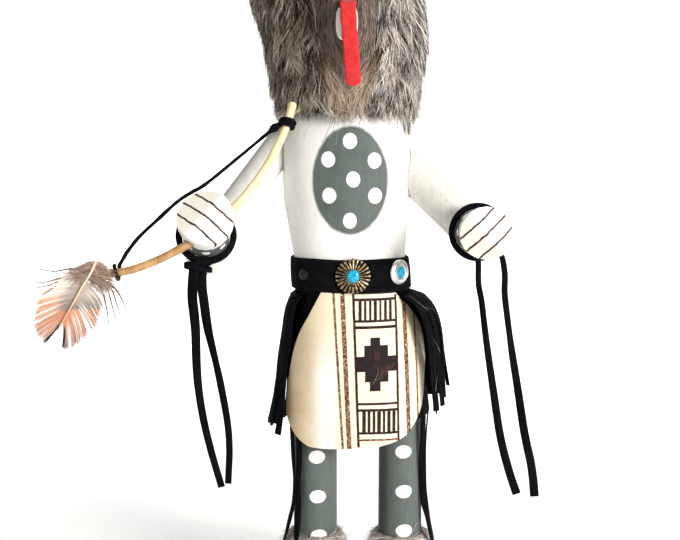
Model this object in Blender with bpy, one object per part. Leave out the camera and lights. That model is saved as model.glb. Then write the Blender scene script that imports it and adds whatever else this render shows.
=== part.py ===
"""Kachina doll: a carved and painted wooden figure in regalia, standing on a low round base.

Metres, +Z up. The origin is the middle of the base's underside. The doll faces -Y, so its own
right side is -X. It holds a bow in its right hand.
"""

import math

import bmesh
import bpy
import numpy as np
from mathutils import Matrix, Vector

GAP = 0.0003  # between pieces that touch

# Base and feet
BASE_RADIUS = 0.048
BASE_HEIGHT = 0.013
BASE_EDGE = 0.0015
SHOE_HEIGHT = 0.015
SHOE_LENGTH = 0.040
SHOE_WIDTH = 0.021
SHOE_HEEL_BACK = 0.013  # heel behind the leg's axis

# Legs
LEG_RADIUS = 0.0111
LEG_SPACING = 0.0435
LEG_Y = -0.004
HIP_HEIGHT = 0.112
ANKLE_FUR_HEIGHT = 0.013
ANKLE_FUR_THICK = 0.0042

# Torso, as half widths
TORSO_DEPTH_SHARE = 0.79
HIP_HALF = 0.0315
TUCK_HALF = 0.0260  # under the belt, where skirt and apron are tucked in
WAIST_HALF = 0.0280
CHEST_HALF = 0.0321
BELT_BOTTOM = 0.1672
TUCK_BOTTOM = BELT_BOTTOM - 0.0022
TUCK_TOP = BELT_BOTTOM + 0.0143
SHOULDER_HEIGHT = 0.256
TORSO_LEAN = 0.0061  # the shoulders' shift towards -X
SECTION_POWER = 2.3

# Belt and what it carries
BELT_HEIGHT = 0.0161
BELT_THICK = 0.0013
FLOWER_RADIUS = 0.0086
FLOWER_THICK = 0.0016
FLOWER_PETALS = 24
FLOWER_STONE_RADIUS = 0.0030
ROUND_CONCHO_RADIUS = 0.0061
ROUND_CONCHO_THICK = 0.0014
ROUND_STONE_RADIUS = 0.0027
STONE_HEIGHT = 0.0013
BUTTON_RADIUS = 0.0027
BUTTON_HEIGHT = 0.0018

# Suede and leather
SUEDE_THICK = 0.0010
APRON_THICK = 0.0008
APRON_EASE = 0.00015  # extra room behind the apron, which is bent less evenly than the body
APRON_TUCK = 0.0093  # under the belt
SKIRT_TUCK = 0.0113
APRON_TOP = BELT_BOTTOM + APRON_TUCK
SKIRT_TOP = BELT_BOTTOM + SKIRT_TUCK
SKIRT_BOTTOM = 0.104
SKIRT_HEM_ROOM = 0.00215  # outside the legs
SKIRT_HEM_HALF = LEG_SPACING / 2 + LEG_RADIUS + SKIRT_HEM_ROOM
APRON_WIDTH = 0.0700
APRON_LENGTH = 0.0850
APRON_HEM_HALF = SKIRT_HEM_HALF + 0.0080  # half width of the curve that the apron follows at its lower edge
APRON_HEM_DEPTH = SKIRT_HEM_HALF * TORSO_DEPTH_SHARE + SUEDE_THICK + 0.00235
FRINGE_LENGTH = 0.0734
FRINGE_REACH = 0.0177  # how far a strip's tip stands off the skirt's top
STRIP_WIDTH = 0.0040
LEG_STRIP_WIDTH = 0.0034
LEG_STRIP_THICK = 0.0009
LEG_STRIP_BOTTOM = 0.030

# Arms
UPPER_ARM_RIGHT_SHOULDER_R = 0.0076
UPPER_ARM_RIGHT_ELBOW_R = 0.0093
UPPER_ARM_LEFT_SHOULDER_R = 0.0090
UPPER_ARM_LEFT_ELBOW_R = 0.0097
WRIST_RADIUS = 0.0107
ELBOW_RADIUS = 0.0104
HAND_RIGHT_RADIUS = 0.0126
HAND_LEFT_RADIUS = 0.0120
HAND_LENGTH = 0.0125
FOREARM_RIGHT_LENGTH = 0.056
FOREARM_LEFT_LENGTH = 0.050
KNUCKLE_SLOPE = math.radians(20)
LACE_RADIUS = 0.00135
LACE_BACK = 0.0255  # from the knuckles back to the lace round the wrist
LACE_END_RADIUS = 0.0015

HAND_SPACING = 0.1240
HAND_REACH_LENGTH = 0.0700
HAND_RIGHT = Vector((-0.542 * HAND_SPACING, -HAND_REACH_LENGTH, SHOULDER_HEIGHT - 0.0481))  # middle of the knuckles
HAND_LEFT = Vector((0.458 * HAND_SPACING, 0.0130 - HAND_REACH_LENGTH, SHOULDER_HEIGHT - 0.0570))
FOREARM_RIGHT_AIM = Vector((0.108, -0.901, 0.420))
FOREARM_LEFT_AIM = Vector((0.040, -0.997, 0.060))
SHOULDER_RIGHT = Vector((-0.0337, 0.0045, SHOULDER_HEIGHT - 0.0105))  # inside the torso
SHOULDER_LEFT = Vector((0.0170, 0.0050, SHOULDER_HEIGHT - 0.0230))
ELBOW_RIGHT_BACK = 0.044  # where the upper arm meets the forearm, behind the knuckles
ELBOW_LEFT_BACK = 0.039

# Bow
BOW_RADIUS = 0.0020
BOW_BACK = 0.007  # the bow's plane behind the knuckles
STRING_RADIUS = 0.00075
STRING_PITCH = 0.0021
FEATHER_THICK = 0.0009

# Head
MASK_RADIUS = 0.0245
MASK_HEIGHT = 0.112
MASK_TOP = SHOULDER_HEIGHT + MASK_HEIGHT
MASK_X = -0.006
RUFF_HEIGHT = 0.0745
RUFF_BOTTOM = SHOULDER_HEIGHT - 0.0035
RUFF_TOP = RUFF_BOTTOM + RUFF_HEIGHT
RUFF_LOW_HALF = 0.0346
RUFF_HIGH_HALF = 0.0425
RUFF_DEPTH_SHARE = 0.86
UPPER_JAW_LENGTH = 0.0265
LOWER_JAW_LENGTH = 0.0235
JAW_WIDTH = 0.0098
MOUTH_RISE = 0.0443
MOUTH_HEIGHT = SHOULDER_HEIGHT + MOUTH_RISE
TONGUE_WIDTH = 0.0070
TONGUE_THICK = 0.0014
TONGUE_HANG = 0.0368
EAR_HEIGHT = 0.024
EAR_WIDTH = 0.013

BODY_SIDES = 24
ROUND_SIDES = 20
HEAD_SIDES = 24


def clear_scene():
    for o in list(bpy.data.objects):
        bpy.data.objects.remove(o, do_unlink=True)


def material(name, colour, roughness, metallic=0.0):
    m = bpy.data.materials.new(name)
    m.use_nodes = True
    shader = m.node_tree.nodes["Principled BSDF"]
    shader.inputs["Base Color"].default_value = (*colour, 1.0)
    shader.inputs["Roughness"].default_value = roughness
    shader.inputs["Metallic"].default_value = metallic
    return m


def add_object(name, bm, mat, smooth=True):
    bmesh.ops.recalc_face_normals(bm, faces=bm.faces[:])
    mesh = bpy.data.meshes.new(name)
    bm.to_mesh(mesh)
    bm.free()
    if smooth:
        mesh.shade_smooth()
        mesh.set_sharp_from_angle(angle=math.radians(40))
    mesh.materials.append(mat)
    o = bpy.data.objects.new(name, mesh)
    bpy.context.scene.collection.objects.link(o)
    return o


def hide_cutter(o):
    o.hide_render = True
    o.display_type = "WIRE"
    return o


def cut(target, cutter):
    m = target.modifiers.new("cut_" + cutter.name, "BOOLEAN")
    m.operation = "DIFFERENCE"
    m.solver = "EXACT"
    m.object = cutter


def loft(rings, closed_ends=True):
    """A skin through rings of points, with a cap on each end."""
    bm = bmesh.new()
    rows = [[bm.verts.new(p) for p in ring] for ring in rings]
    n = len(rows[0])
    for low, high in zip(rows, rows[1:]):
        for i in range(n):
            k = (i + 1) % n
            bm.faces.new((low[i], low[k], high[k], high[i]))
    if closed_ends:
        bm.faces.new(list(reversed(rows[0])))
        bm.faces.new(rows[-1])
    return bm


def closed_loft(rings):
    """A skin through rings that come back to the first one, as round a hoop."""
    bm = bmesh.new()
    rows = [[bm.verts.new(p) for p in ring] for ring in rings]
    n = len(rows[0])
    for low, high in zip(rows, rows[1:] + rows[:1]):
        for i in range(n):
            k = (i + 1) % n
            bm.faces.new((low[i], low[k], high[k], high[i]))
    return bm


def oval(cx, cy, a, b, z, sides=BODY_SIDES, power=SECTION_POWER):
    """Points of a rounded section, evenly turned, at height z."""
    out = []
    for i in range(sides):
        t = 2 * math.pi * i / sides
        c = math.copysign(abs(math.cos(t)) ** (2 / power), math.cos(t))
        s = math.copysign(abs(math.sin(t)) ** (2 / power), math.sin(t))
        out.append(Vector((cx + a * c, cy + b * s, z)))
    return out


def on_section(turn, a, b):
    """A point of the body's rounded section, turned from +X, as (x, y) about its middle."""
    c, s = math.cos(turn), math.sin(turn)
    x = math.copysign(abs(c) ** (2 / SECTION_POWER), c) * a
    y = math.copysign(abs(s) ** (2 / SECTION_POWER), s) * b
    return x, y


def circle(radius, z, sides=ROUND_SIDES):
    return oval(0, 0, radius, radius, z, sides, 2.0)


def blend(x, xs, ys):
    return float(np.interp(x, xs, ys))


def smooth_line(points, count):
    """Points read from a smooth curve through the given ones, evenly along it."""
    p = [np.array(q, float) for q in points]
    p = [2 * p[0] - p[1]] + p + [2 * p[-1] - p[-2]]
    fine = []
    for i in range(1, len(p) - 2):
        for t in np.linspace(0, 1, 24, endpoint=False):
            a, b, c, d = p[i - 1], p[i], p[i + 1], p[i + 2]
            fine.append(
                0.5 * (2 * b + (c - a) * t + (2 * a - 5 * b + 4 * c - d) * t**2
                       + (3 * b - a - 3 * c + d) * t**3)
            )
    fine.append(p[-2])
    fine = np.array(fine)
    along = np.concatenate([[0], np.cumsum(np.linalg.norm(np.diff(fine, axis=0), axis=1))])
    at = np.linspace(0, along[-1], count)
    return [Vector([float(np.interp(s, along, fine[:, k])) for k in range(fine.shape[1])]) for s in at]


def frames_along(points):
    """A direction and two cross directions at each point, turned as little as possible."""
    out = []
    side = None
    for i, p in enumerate(points):
        ahead = (points[min(i + 1, len(points) - 1)] - points[max(i - 1, 0)]).normalized()
        if side is None:
            side = ahead.orthogonal().normalized()
        side = (side - ahead * side.dot(ahead)).normalized()
        out.append((p, ahead, side, ahead.cross(side)))
    return out


def tube(points, radii, sides):
    rings = []
    for (p, _, u, v), r in zip(frames_along(points), radii):
        turn = [2 * math.pi * i / sides for i in range(sides)]
        rings.append([p + r * (math.cos(t) * u + math.sin(t) * v) for t in turn])
    return loft(rings)


def sheet_solid(grid, back):
    """A closed slab between a grid of points and the same grid moved back."""
    bm = bmesh.new()
    front = [[bm.verts.new(p) for p in row] for row in grid]
    rear = [[bm.verts.new(p + b) for p, b in zip(row, moves)] for row, moves in zip(grid, back)]
    rows, cols = len(front), len(front[0])
    for i in range(rows - 1):
        for j in range(cols - 1):
            bm.faces.new((front[i][j], front[i][j + 1], front[i + 1][j + 1], front[i + 1][j]))
            bm.faces.new((rear[i][j], rear[i + 1][j], rear[i + 1][j + 1], rear[i][j + 1]))
    for i in range(rows - 1):
        bm.faces.new((front[i][0], front[i + 1][0], rear[i + 1][0], rear[i][0]))
        bm.faces.new((front[i][-1], rear[i][-1], rear[i + 1][-1], front[i + 1][-1]))
    for j in range(cols - 1):
        bm.faces.new((front[0][j], rear[0][j], rear[0][j + 1], front[0][j + 1]))
        bm.faces.new((front[-1][j], front[-1][j + 1], rear[-1][j + 1], rear[-1][j]))
    return bm


def point_along(o, direction, at):
    """Turns an object so that its +Z points along direction, and puts it at a place."""
    o.rotation_mode = "QUATERNION"
    o.rotation_quaternion = direction.to_track_quat("Z", "Y")
    o.location = at


# Torso

def torso_profile():
    """Heights and half widths, from the hips up."""
    chest = SHOULDER_HEIGHT - TUCK_TOP
    hip_middle = HIP_HALF + (TUCK_HALF - HIP_HALF) * 0.6
    chest_low = WAIST_HALF + (CHEST_HALF - WAIST_HALF) * 0.4
    return [
        (HIP_HEIGHT, HIP_HALF),
        (HIP_HEIGHT + (TUCK_BOTTOM - HIP_HEIGHT) * 0.72, hip_middle),
        (TUCK_BOTTOM, TUCK_HALF),
        (TUCK_TOP, TUCK_HALF),
        (TUCK_TOP + 0.0007, WAIST_HALF),
        (TUCK_TOP + 0.195 * chest, chest_low),
        (TUCK_TOP + 0.396 * chest, CHEST_HALF - 0.0007),
        (TUCK_TOP + 0.705 * chest, CHEST_HALF),
        (SHOULDER_HEIGHT - 0.0100, CHEST_HALF - 0.0009),
        (SHOULDER_HEIGHT - 0.0045, CHEST_HALF - 0.0033),
        (SHOULDER_HEIGHT - 0.0012, CHEST_HALF - 0.0066),
        (SHOULDER_HEIGHT, CHEST_HALF - 0.0100),
    ]


def torso_half(z):
    heights, halves = zip(*torso_profile())
    return blend(z, heights, halves)


def torso_middle(z):
    hips = TUCK_TOP - HIP_HEIGHT
    chest = SHOULDER_HEIGHT - TUCK_TOP
    heights = [HIP_HEIGHT, HIP_HEIGHT + 0.547 * hips, TUCK_TOP]
    heights += [TUCK_TOP + 0.362 * chest, TUCK_TOP + 0.7315 * chest]
    shares = [0.0, 0.36, 0.69, 0.95, 1.0]
    return -TORSO_LEAN * blend(z, heights, shares)


def body_ring(z, half, extra=0.0):
    """A section that follows the torso at height z, extra outside half."""
    depth = half * TORSO_DEPTH_SHARE + extra
    return oval(torso_middle(z), 0, half + extra, depth, z)


def torso_bm(extra=0.0):
    levels = [z for z, _ in torso_profile()]
    levels[0] += GAP - extra
    levels[-1] += extra
    return loft([body_ring(z, torso_half(z), extra) for z in levels])


def make_torso(mat):
    return add_object("torso", torso_bm(), mat)


def make_torso_cutter(mat):
    return hide_cutter(add_object("torso_room", torso_bm(GAP), mat))


# Base, feet and legs

def make_base(mat):
    r = BASE_RADIUS
    rings = [
        circle(r - BASE_EDGE, 0, 32),
        circle(r, BASE_EDGE, 32),
        circle(r, BASE_HEIGHT - BASE_EDGE, 32),
        circle(r - BASE_EDGE, BASE_HEIGHT, 32),
    ]
    return add_object("base", loft(rings), mat)


def leg_x(side):
    return side * LEG_SPACING / 2


def shoe_ring(z, length, width, back, toe_power):
    """A foot's outline: rounder behind, longer in front."""
    out = []
    for i in range(ROUND_SIDES):
        t = 2 * math.pi * i / ROUND_SIDES
        c, s = math.cos(t), math.sin(t)
        reach = back if s > 0 else length - back
        power = 2.0 if s > 0 else toe_power
        x = math.copysign(abs(c) ** (2 / power), c) * width / 2
        y = math.copysign(abs(s) ** (2 / power), s) * reach
        out.append(Vector((x, LEG_Y + y, z)))
    return out


def make_shoe(name, side, mat):
    low = BASE_HEIGHT + GAP
    top = low + SHOE_HEIGHT
    ankle = LEG_RADIUS - 0.0003
    rings = [
        shoe_ring(low, SHOE_LENGTH - 0.001, SHOE_WIDTH - 0.001, SHOE_HEEL_BACK - 0.0005, 2.5),
        shoe_ring(low + 0.08 * SHOE_HEIGHT, SHOE_LENGTH, SHOE_WIDTH, SHOE_HEEL_BACK, 2.5),
        shoe_ring(low + 0.34 * SHOE_HEIGHT, SHOE_LENGTH, SHOE_WIDTH, SHOE_HEEL_BACK, 2.4),
        shoe_ring(low + 0.6 * SHOE_HEIGHT, SHOE_LENGTH * 0.87, SHOE_WIDTH * 0.98, SHOE_HEEL_BACK * 0.97, 2.2),
        shoe_ring(low + 0.82 * SHOE_HEIGHT, SHOE_LENGTH * 0.68, ankle * 1.95, SHOE_HEEL_BACK * 0.90, 2.0),
        shoe_ring(top, ankle * 2, ankle * 2, ankle, 2.0),
    ]
    o = add_object(name, loft(rings), mat)
    o.location.x = leg_x(side)
    return o


def leg_bottom():
    return BASE_HEIGHT + GAP + SHOE_HEIGHT + GAP


def make_leg(name, side, mat):
    o = add_object(name, loft([circle(LEG_RADIUS, leg_bottom()), circle(LEG_RADIUS, HIP_HEIGHT)]), mat)
    o.location = (leg_x(side), LEG_Y, 0)
    return o


def make_ankle_fur(name, side, mat):
    inner = LEG_RADIUS + GAP
    low = leg_bottom() + 0.0003
    high = low + ANKLE_FUR_HEIGHT
    profile = [
        (inner, low), (inner + ANKLE_FUR_THICK * 0.7, low),
        (inner + ANKLE_FUR_THICK, low + 0.4 * ANKLE_FUR_HEIGHT),
        (inner + ANKLE_FUR_THICK * 0.75, high - 0.0015), (inner, high),
    ]
    o = add_object(name, closed_loft([circle(r, z) for r, z in profile]), mat)
    o.location = (leg_x(side), LEG_Y, 0)
    return o


# Skirt, apron, belt

def skirt_levels():
    rise = TUCK_BOTTOM - HIP_HEIGHT
    hips = [HIP_HEIGHT + share * rise for share in (0, 0.5, 0.8, 1)]
    return [SKIRT_BOTTOM] + hips + [SKIRT_TOP]


def skirt_inner(z):
    levels = skirt_levels()
    hip = max(HIP_HALF, LEG_SPACING / 2 + LEG_RADIUS) + GAP
    halves = [max(SKIRT_HEM_HALF, hip + 0.001), hip + 0.0011, torso_half(levels[2]) + 0.0010,
              torso_half(levels[3]) + 0.0006, TUCK_HALF + GAP, TUCK_HALF + GAP]
    return blend(z, levels, halves)


def skirt_outer(z):
    return skirt_inner(z) + SUEDE_THICK


def make_skirt(mat):
    levels = skirt_levels()
    outer = [body_ring(z, skirt_inner(z), SUEDE_THICK) for z in levels]
    inner = [body_ring(z, skirt_inner(z)) for z in reversed(levels)]
    return add_object("suede_skirt", closed_loft(outer + inner), mat)


def tuck_outer():
    """Half width of torso, skirt and apron together where the belt holds them."""
    return TUCK_HALF + GAP + SUEDE_THICK + GAP + APRON_EASE + APRON_THICK


def tuck_depth():
    """The same from the middle to the front."""
    return TUCK_HALF * TORSO_DEPTH_SHARE + tuck_outer() - TUCK_HALF


def apron_curve(z):
    """Half width and depth of the oval that the apron's outer face follows at height z."""
    down = [0.994, 0.547, 0.312]
    heights = [APRON_TOP - share * APRON_LENGTH for share in down] + [BELT_BOTTOM - 0.0006]
    wide = [APRON_HEM_HALF, APRON_HEM_HALF - 0.002, APRON_HEM_HALF - 0.007, tuck_outer()]
    deep = [APRON_HEM_DEPTH, APRON_HEM_DEPTH - 0.0005, APRON_HEM_DEPTH - 0.0035, tuck_depth()]
    return blend(z, heights, wide), blend(z, heights, deep)


def apron_point(x, z, inset):
    a, b = apron_curve(z)
    r = min(0.985, abs(x - torso_middle(z)) / a)
    power = blend(z, [APRON_TOP - 0.312 * APRON_LENGTH, BELT_BOTTOM - 0.0006], [2.0, SECTION_POWER])
    y = -b * (1 - r**power) ** (1 / power)
    across = (x - torso_middle(z)) / a**2
    normal = Vector((across, y / b**2, 0)).normalized()
    return Vector((x, y, z)) - normal * inset


def make_apron(mat):
    start = (APRON_TOP - BELT_BOTTOM + 0.0006) / APRON_LENGTH
    left = [(-0.531, start), (-0.691, 0.241), (-0.851, 0.372), (-0.951, 0.531), (-0.997, 0.712),
            (-1.0, 0.832), (-0.883, 0.935), (-0.714, 0.992), (-0.514, 1.0)]
    right = [(0.514, start), (0.714, 0.206), (0.874, 0.312), (0.931, 0.453), (0.920, 0.594),
             (0.880, 0.776), (0.723, 0.900), (0.554, 0.949), (0.274, 0.982)]

    def placed(outline):
        return [(x * APRON_WIDTH / 2, APRON_TOP - down * APRON_LENGTH) for x, down in outline]

    top_left, top_right = placed([(-0.514, 0), (0.491, 0)])
    rows = [(Vector(top_left), Vector(top_right))]
    rows += list(zip(smooth_line(placed(left), 11), smooth_line(placed(right), 11)))
    grid, back = [], []
    for a, b in rows:
        row = [a.lerp(b, t) for t in np.linspace(0, 1, 9)]
        grid.append([apron_point(p.x, p.y, 0) for p in row])
        back.append([apron_point(p.x, p.y, APRON_THICK) - apron_point(p.x, p.y, 0) for p in row])
    return add_object("leather_apron", sheet_solid(grid, back), mat)


def belt_inner(z):
    """Half width and depth of the belt's inside: round the apron's top below, on the waist above."""
    levels = [BELT_BOTTOM, APRON_TOP + GAP, BELT_BOTTOM + BELT_HEIGHT]
    wide = blend(z, levels, [tuck_outer() + GAP, tuck_outer() + GAP, WAIST_HALF + GAP])
    deep = blend(z, levels, [tuck_depth() + GAP, tuck_depth() + GAP, WAIST_HALF * TORSO_DEPTH_SHARE + GAP])
    return wide, deep


def belt_ring(z, extra):
    wide, deep = belt_inner(z)
    return oval(torso_middle(z), 0, wide + extra, deep + extra, z)


def make_belt(mat):
    low, high = BELT_BOTTOM, BELT_BOTTOM + BELT_HEIGHT
    mid = APRON_TOP + GAP
    t = BELT_THICK
    rings = [
        belt_ring(low, 0), belt_ring(low, t - 0.0002), belt_ring(mid, t),
        belt_ring(high, t - 0.0002), belt_ring(high, 0), belt_ring(mid, 0),
    ]
    return add_object("belt", closed_loft(rings), mat)


def belt_place(turn, z, out):
    """A point out from the belt's outer face and its outward normal, turn radians from the front."""
    wide, deep = belt_inner(z)
    a, b = wide + BELT_THICK, deep + BELT_THICK
    n = SECTION_POWER
    x, y = on_section(turn - math.pi / 2, a, b)
    normal = Vector((
        math.copysign(abs(x / a) ** (n - 1), x) / a, math.copysign(abs(y / b) ** (n - 1), y) / b, 0
    )).normalized()
    return Vector((torso_middle(z) + x, y, z)) + normal * out, normal


def dome(profile, sides, wave=0.0):
    """A turned boss on z = 0, with an edge that goes in and out if wave is set."""
    rings = []
    for r, z, share in profile:
        ring = []
        for i in range(sides):
            t = 2 * math.pi * i / sides
            k = r * (1 - wave * share * (i % 2))
            ring.append(Vector((k * math.cos(t), k * math.sin(t), z)))
        rings.append(ring)
    return loft(rings)


def stone_profile(r):
    high = STONE_HEIGHT
    return [(r, 0, 0), (r, 0.35 * high, 0), (r * 0.75, 0.8 * high, 0), (r * 0.3, high, 0)]


def make_flower_concho(mat, stone_mat):
    turn = 0.02
    z = BELT_BOTTOM + 0.528 * BELT_HEIGHT
    base, normal = belt_place(turn, z, GAP)
    r, t = FLOWER_RADIUS, FLOWER_THICK
    profile = [(r * 0.97, 0, 1), (r, 0.3 * t, 1), (r * 0.8, 0.75 * t, 0.7), (r * 0.45, t, 0.0)]
    o = add_object("flower_concho", dome(profile, 2 * FLOWER_PETALS, 0.13), mat)
    point_along(o, normal, base)
    s = FLOWER_STONE_RADIUS
    stone = add_object("flower_stone", dome(stone_profile(s), 12), stone_mat)
    point_along(stone, normal, base + normal * (t + GAP))


def make_round_concho(mat, stone_mat):
    turn = math.radians(48)
    z = BELT_BOTTOM + 0.596 * BELT_HEIGHT
    base, normal = belt_place(turn, z, GAP)
    r, t = ROUND_CONCHO_RADIUS, ROUND_CONCHO_THICK
    profile = [(r, 0, 0), (r, 0.4 * t, 0), (r * 0.85, 0.8 * t, 0), (r * 0.5, t, 0)]
    o = add_object("round_concho", dome(profile, 24), mat)
    point_along(o, normal, base)
    s = ROUND_STONE_RADIUS
    stone = add_object("round_stone", dome(stone_profile(s), 12), stone_mat)
    point_along(stone, normal, base + normal * (t + GAP))


def make_button(mat):
    base, normal = belt_place(math.radians(-46), BELT_BOTTOM + 0.522 * BELT_HEIGHT, GAP)
    r, h = BUTTON_RADIUS, BUTTON_HEIGHT
    profile = [(r, 0, 0), (r, 0.3 * h, 0), (r * 0.8, 0.75 * h, 0), (r * 0.35, h, 0)]
    o = add_object("belt_button", dome(profile, 14), mat)
    point_along(o, normal, base)


# Fringes

def comb(columns, header_rows, thick, out):
    """Strips side by side, joined by their first rows. A column is a strip's left and right edges.

    out gives the outward direction at a point, and the slab lies from the points outwards.
    """
    bm = bmesh.new()
    rows = len(columns[0][0])
    lines = [line for column in columns for line in column]
    near = [[bm.verts.new(p) for p in line] for line in lines]
    far = [[bm.verts.new(p + thick * out(p)) for p in line] for line in lines]

    def filled(j, i):
        return 0 <= j < len(lines) - 1 and 0 <= i < rows - 1 and (j % 2 == 0 or i < header_rows)

    for j in range(len(lines) - 1):
        for i in range(rows - 1):
            if not filled(j, i):
                continue
            bm.faces.new((near[j][i], near[j + 1][i], near[j + 1][i + 1], near[j][i + 1]))
            bm.faces.new((far[j][i], far[j][i + 1], far[j + 1][i + 1], far[j + 1][i]))
            if not filled(j, i - 1):
                bm.faces.new((near[j][i], far[j][i], far[j + 1][i], near[j + 1][i]))
            if not filled(j, i + 1):
                bm.faces.new((near[j][i + 1], near[j + 1][i + 1], far[j + 1][i + 1], far[j][i + 1]))
            if not filled(j - 1, i):
                bm.faces.new((near[j][i], near[j][i + 1], far[j][i + 1], far[j][i]))
            if not filled(j + 1, i):
                bm.faces.new((near[j + 1][i], far[j + 1][i], far[j + 1][i + 1], near[j + 1][i + 1]))
    loose = [v for v in bm.verts if not v.link_faces]
    bmesh.ops.delete(bm, geom=loose, context="VERTS")
    return bm


def make_fringe(name, side, turns, drape, tips, mat):
    """A cut fringe at the hip. tips are the strips' shares of the full length.

    drape is how far a strip stands off the skirt, as shares of the reach, at shares of its own length.
    """
    line = smooth_line([(off * FRINGE_REACH, down) for off, down in drape], 7)
    start = BELT_BOTTOM - GAP - SUEDE_THICK
    close = skirt_outer(start) + GAP
    close_depth = skirt_inner(start) * TORSO_DEPTH_SHARE + SUEDE_THICK + GAP
    columns = []
    for turn, share in zip(turns, tips):
        edges = []
        for sign in (-1, 1):
            edge = []
            for off, down in line:
                z = start - down * share * FRINGE_LENGTH
                reach = close + off
                spread = STRIP_WIDTH / 2 / close * (close / reach) ** 0.25
                angle = math.radians(turn) + sign * spread
                x, y = on_section(angle, reach, close_depth + off)
                edge.append(Vector((torso_middle(z) + side * x, -y, z)))
            edges.append(edge)
        columns.append(edges)

    def out(p):
        return Vector(((p.x - torso_middle(p.z)) / 1.0, p.y / TORSO_DEPTH_SHARE**2, 0)).normalized()

    return add_object(name, comb(columns, 2, SUEDE_THICK, out), mat, smooth=False)


def make_fringes(mat):
    right_drape = [(0.023, 0.0), (0.186, 0.042), (0.373, 0.154), (0.480, 0.294), (0.661, 0.503),
                   (0.797, 0.713), (0.910, 0.881), (1.0, 1.0)]
    left_drape = [(0.023, 0.0), (0.294, 0.018), (0.621, 0.093), (0.842, 0.232), (0.944, 0.411),
                  (0.960, 0.643), (0.983, 0.875), (1.0, 1.0)]
    make_fringe("fringe_right", -1, [-66, -53, -41, -30, -20, -10.5, -1.5, 7.5, 16.5, 25],
                right_drape, [0.898, 0.925, 0.884, 0.939, 0.911, 0.966, 0.986, 0.959, 1.0, 1.0], mat)
    make_fringe("fringe_left", 1, [-66, -53, -41, -30, -19, -8.5, 2, 12, 24, 33],
                left_drape, [0.843, 0.789, 0.830, 0.762, 0.802, 0.741, 0.728, 0.741, 0.782, 0.843], mat)


def make_leg_fringe(name, side, strips, mat):
    """Strips that hang from the skirt's hem outside a leg and pass over the fur at the ankle.

    A strip's way down is a share of its length, its turn from the front and its room off the leg.
    """
    top = SKIRT_BOTTOM - GAP
    fur_top = leg_bottom() + GAP + ANKLE_FUR_HEIGHT

    def out(p):
        return Vector((p.x - leg_x(side), p.y - LEG_Y, 0)).normalized()

    columns = []
    for strip in strips:
        shares, turns, rooms = zip(*strip)
        middle = []
        for share in np.linspace(0, 1, 11):
            z = top + (LEG_STRIP_BOTTOM - top) * share
            angle = math.radians(blend(share, shares, turns))
            over_fur = blend(z, [fur_top + GAP, fur_top + 0.016], [ANKLE_FUR_THICK + GAP, 0])
            reach = LEG_RADIUS + GAP + blend(share, shares, rooms) + over_fur
            x = leg_x(side) + side * reach * math.sin(angle)
            middle.append(Vector((x, LEG_Y - reach * math.cos(angle), z)))
        edges = []
        for sign in (-1, 1):
            across = [Vector((0, 0, 1)).cross(out(p)) for p in middle]
            edges.append([p + a * sign * side * LEG_STRIP_WIDTH / 2 for p, a in zip(middle, across)])
        columns.append(edges)
    return add_object(name, comb(columns, 1, LEG_STRIP_THICK, out), mat, smooth=False)


def make_leg_fringes(mat):
    right = [
        [(0, 28.9, 0.0036), (0.3, 33, 0.0023), (0.45, 36, 0.0026), (0.6, 34, 0.0026), (0.8, 34, 0.0006),
         (1, 34, 0.0006)],
        [(0, 58.5, 0.0019), (0.3, 59, 0.0009), (0.45, 54, 0.0008), (0.6, 54, 0.0008), (0.7, 60, 0.0006),
         (0.89, 68, 0.0006), (1, 72, 0.0014)],
    ]
    left = [
        [(0, 47.8, 0.0024), (0.2, 51, 0.0015), (0.5, 54, 0.0011), (0.62, 58, 0.0014), (0.89, 66, 0.0014),
         (1, 68, 0.0024)],
        [(0, 86, 0.0019), (0.2, 90, 0.0009), (0.5, 92, 0.0009), (0.62, 92, 0.0009), (0.89, 90, 0.0009),
         (1, 88, 0.0014)],
    ]
    make_leg_fringe("leg_fringe_right", -1, right, mat)
    make_leg_fringe("leg_fringe_left", 1, left, mat)


# Arms

def forearm_bm(length, hand_radius, extra=0.0):
    """Turned about +Z with the knuckles at z = 0 and the elbow at z = -length."""
    profile = [
        (-length - extra, ELBOW_RADIUS * 0.72), (-length + 0.0016, ELBOW_RADIUS * 0.93),
        (-length + 0.0045, ELBOW_RADIUS), (-LACE_BACK - 0.004, WRIST_RADIUS),
        (-HAND_LENGTH - 0.003, WRIST_RADIUS),
        (-HAND_LENGTH, WRIST_RADIUS + 0.0004), (-HAND_LENGTH + 0.0035, hand_radius - 0.0003),
        (-0.004, hand_radius), (0.002, hand_radius - 0.0002),
    ]
    return loft([circle(r + extra, z) for z, r in profile])


def chisel(bm, across):
    """Cuts the end to a ridge of knuckles at z = 0, sloping off both ways along across."""
    for sign in (-1, 1):
        normal = across * sign * math.sin(KNUCKLE_SLOPE)
        normal.z = math.cos(KNUCKLE_SLOPE)
        geometry = bm.verts[:] + bm.edges[:] + bm.faces[:]
        bmesh.ops.bisect_plane(bm, geom=geometry, plane_co=(0, 0, 0), plane_no=normal, clear_outer=True)
        rim = [e for e in bm.edges if e.is_boundary]
        bmesh.ops.holes_fill(bm, edges=rim, sides=0)
    return bm


def aim_matrix(direction, at):
    """A frame with +Z along direction and +X as level as can be."""
    z = direction.normalized()
    x = Vector((0, 0, 1)).cross(z).normalized()
    y = z.cross(x)
    m = Matrix((x, y, z)).transposed().to_4x4()
    m.translation = at
    return m


def make_forearm(name, direction, at, length, hand_radius, across, mat):
    o = add_object(name, chisel(forearm_bm(length, hand_radius), across), mat)
    o.matrix_world = aim_matrix(direction, at)
    return o


def make_forearm_cutter(name, direction, at, length, hand_radius, mat):
    o = add_object(name, forearm_bm(length, hand_radius, GAP), mat)
    o.matrix_world = aim_matrix(direction, at)
    return hide_cutter(o)


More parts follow.
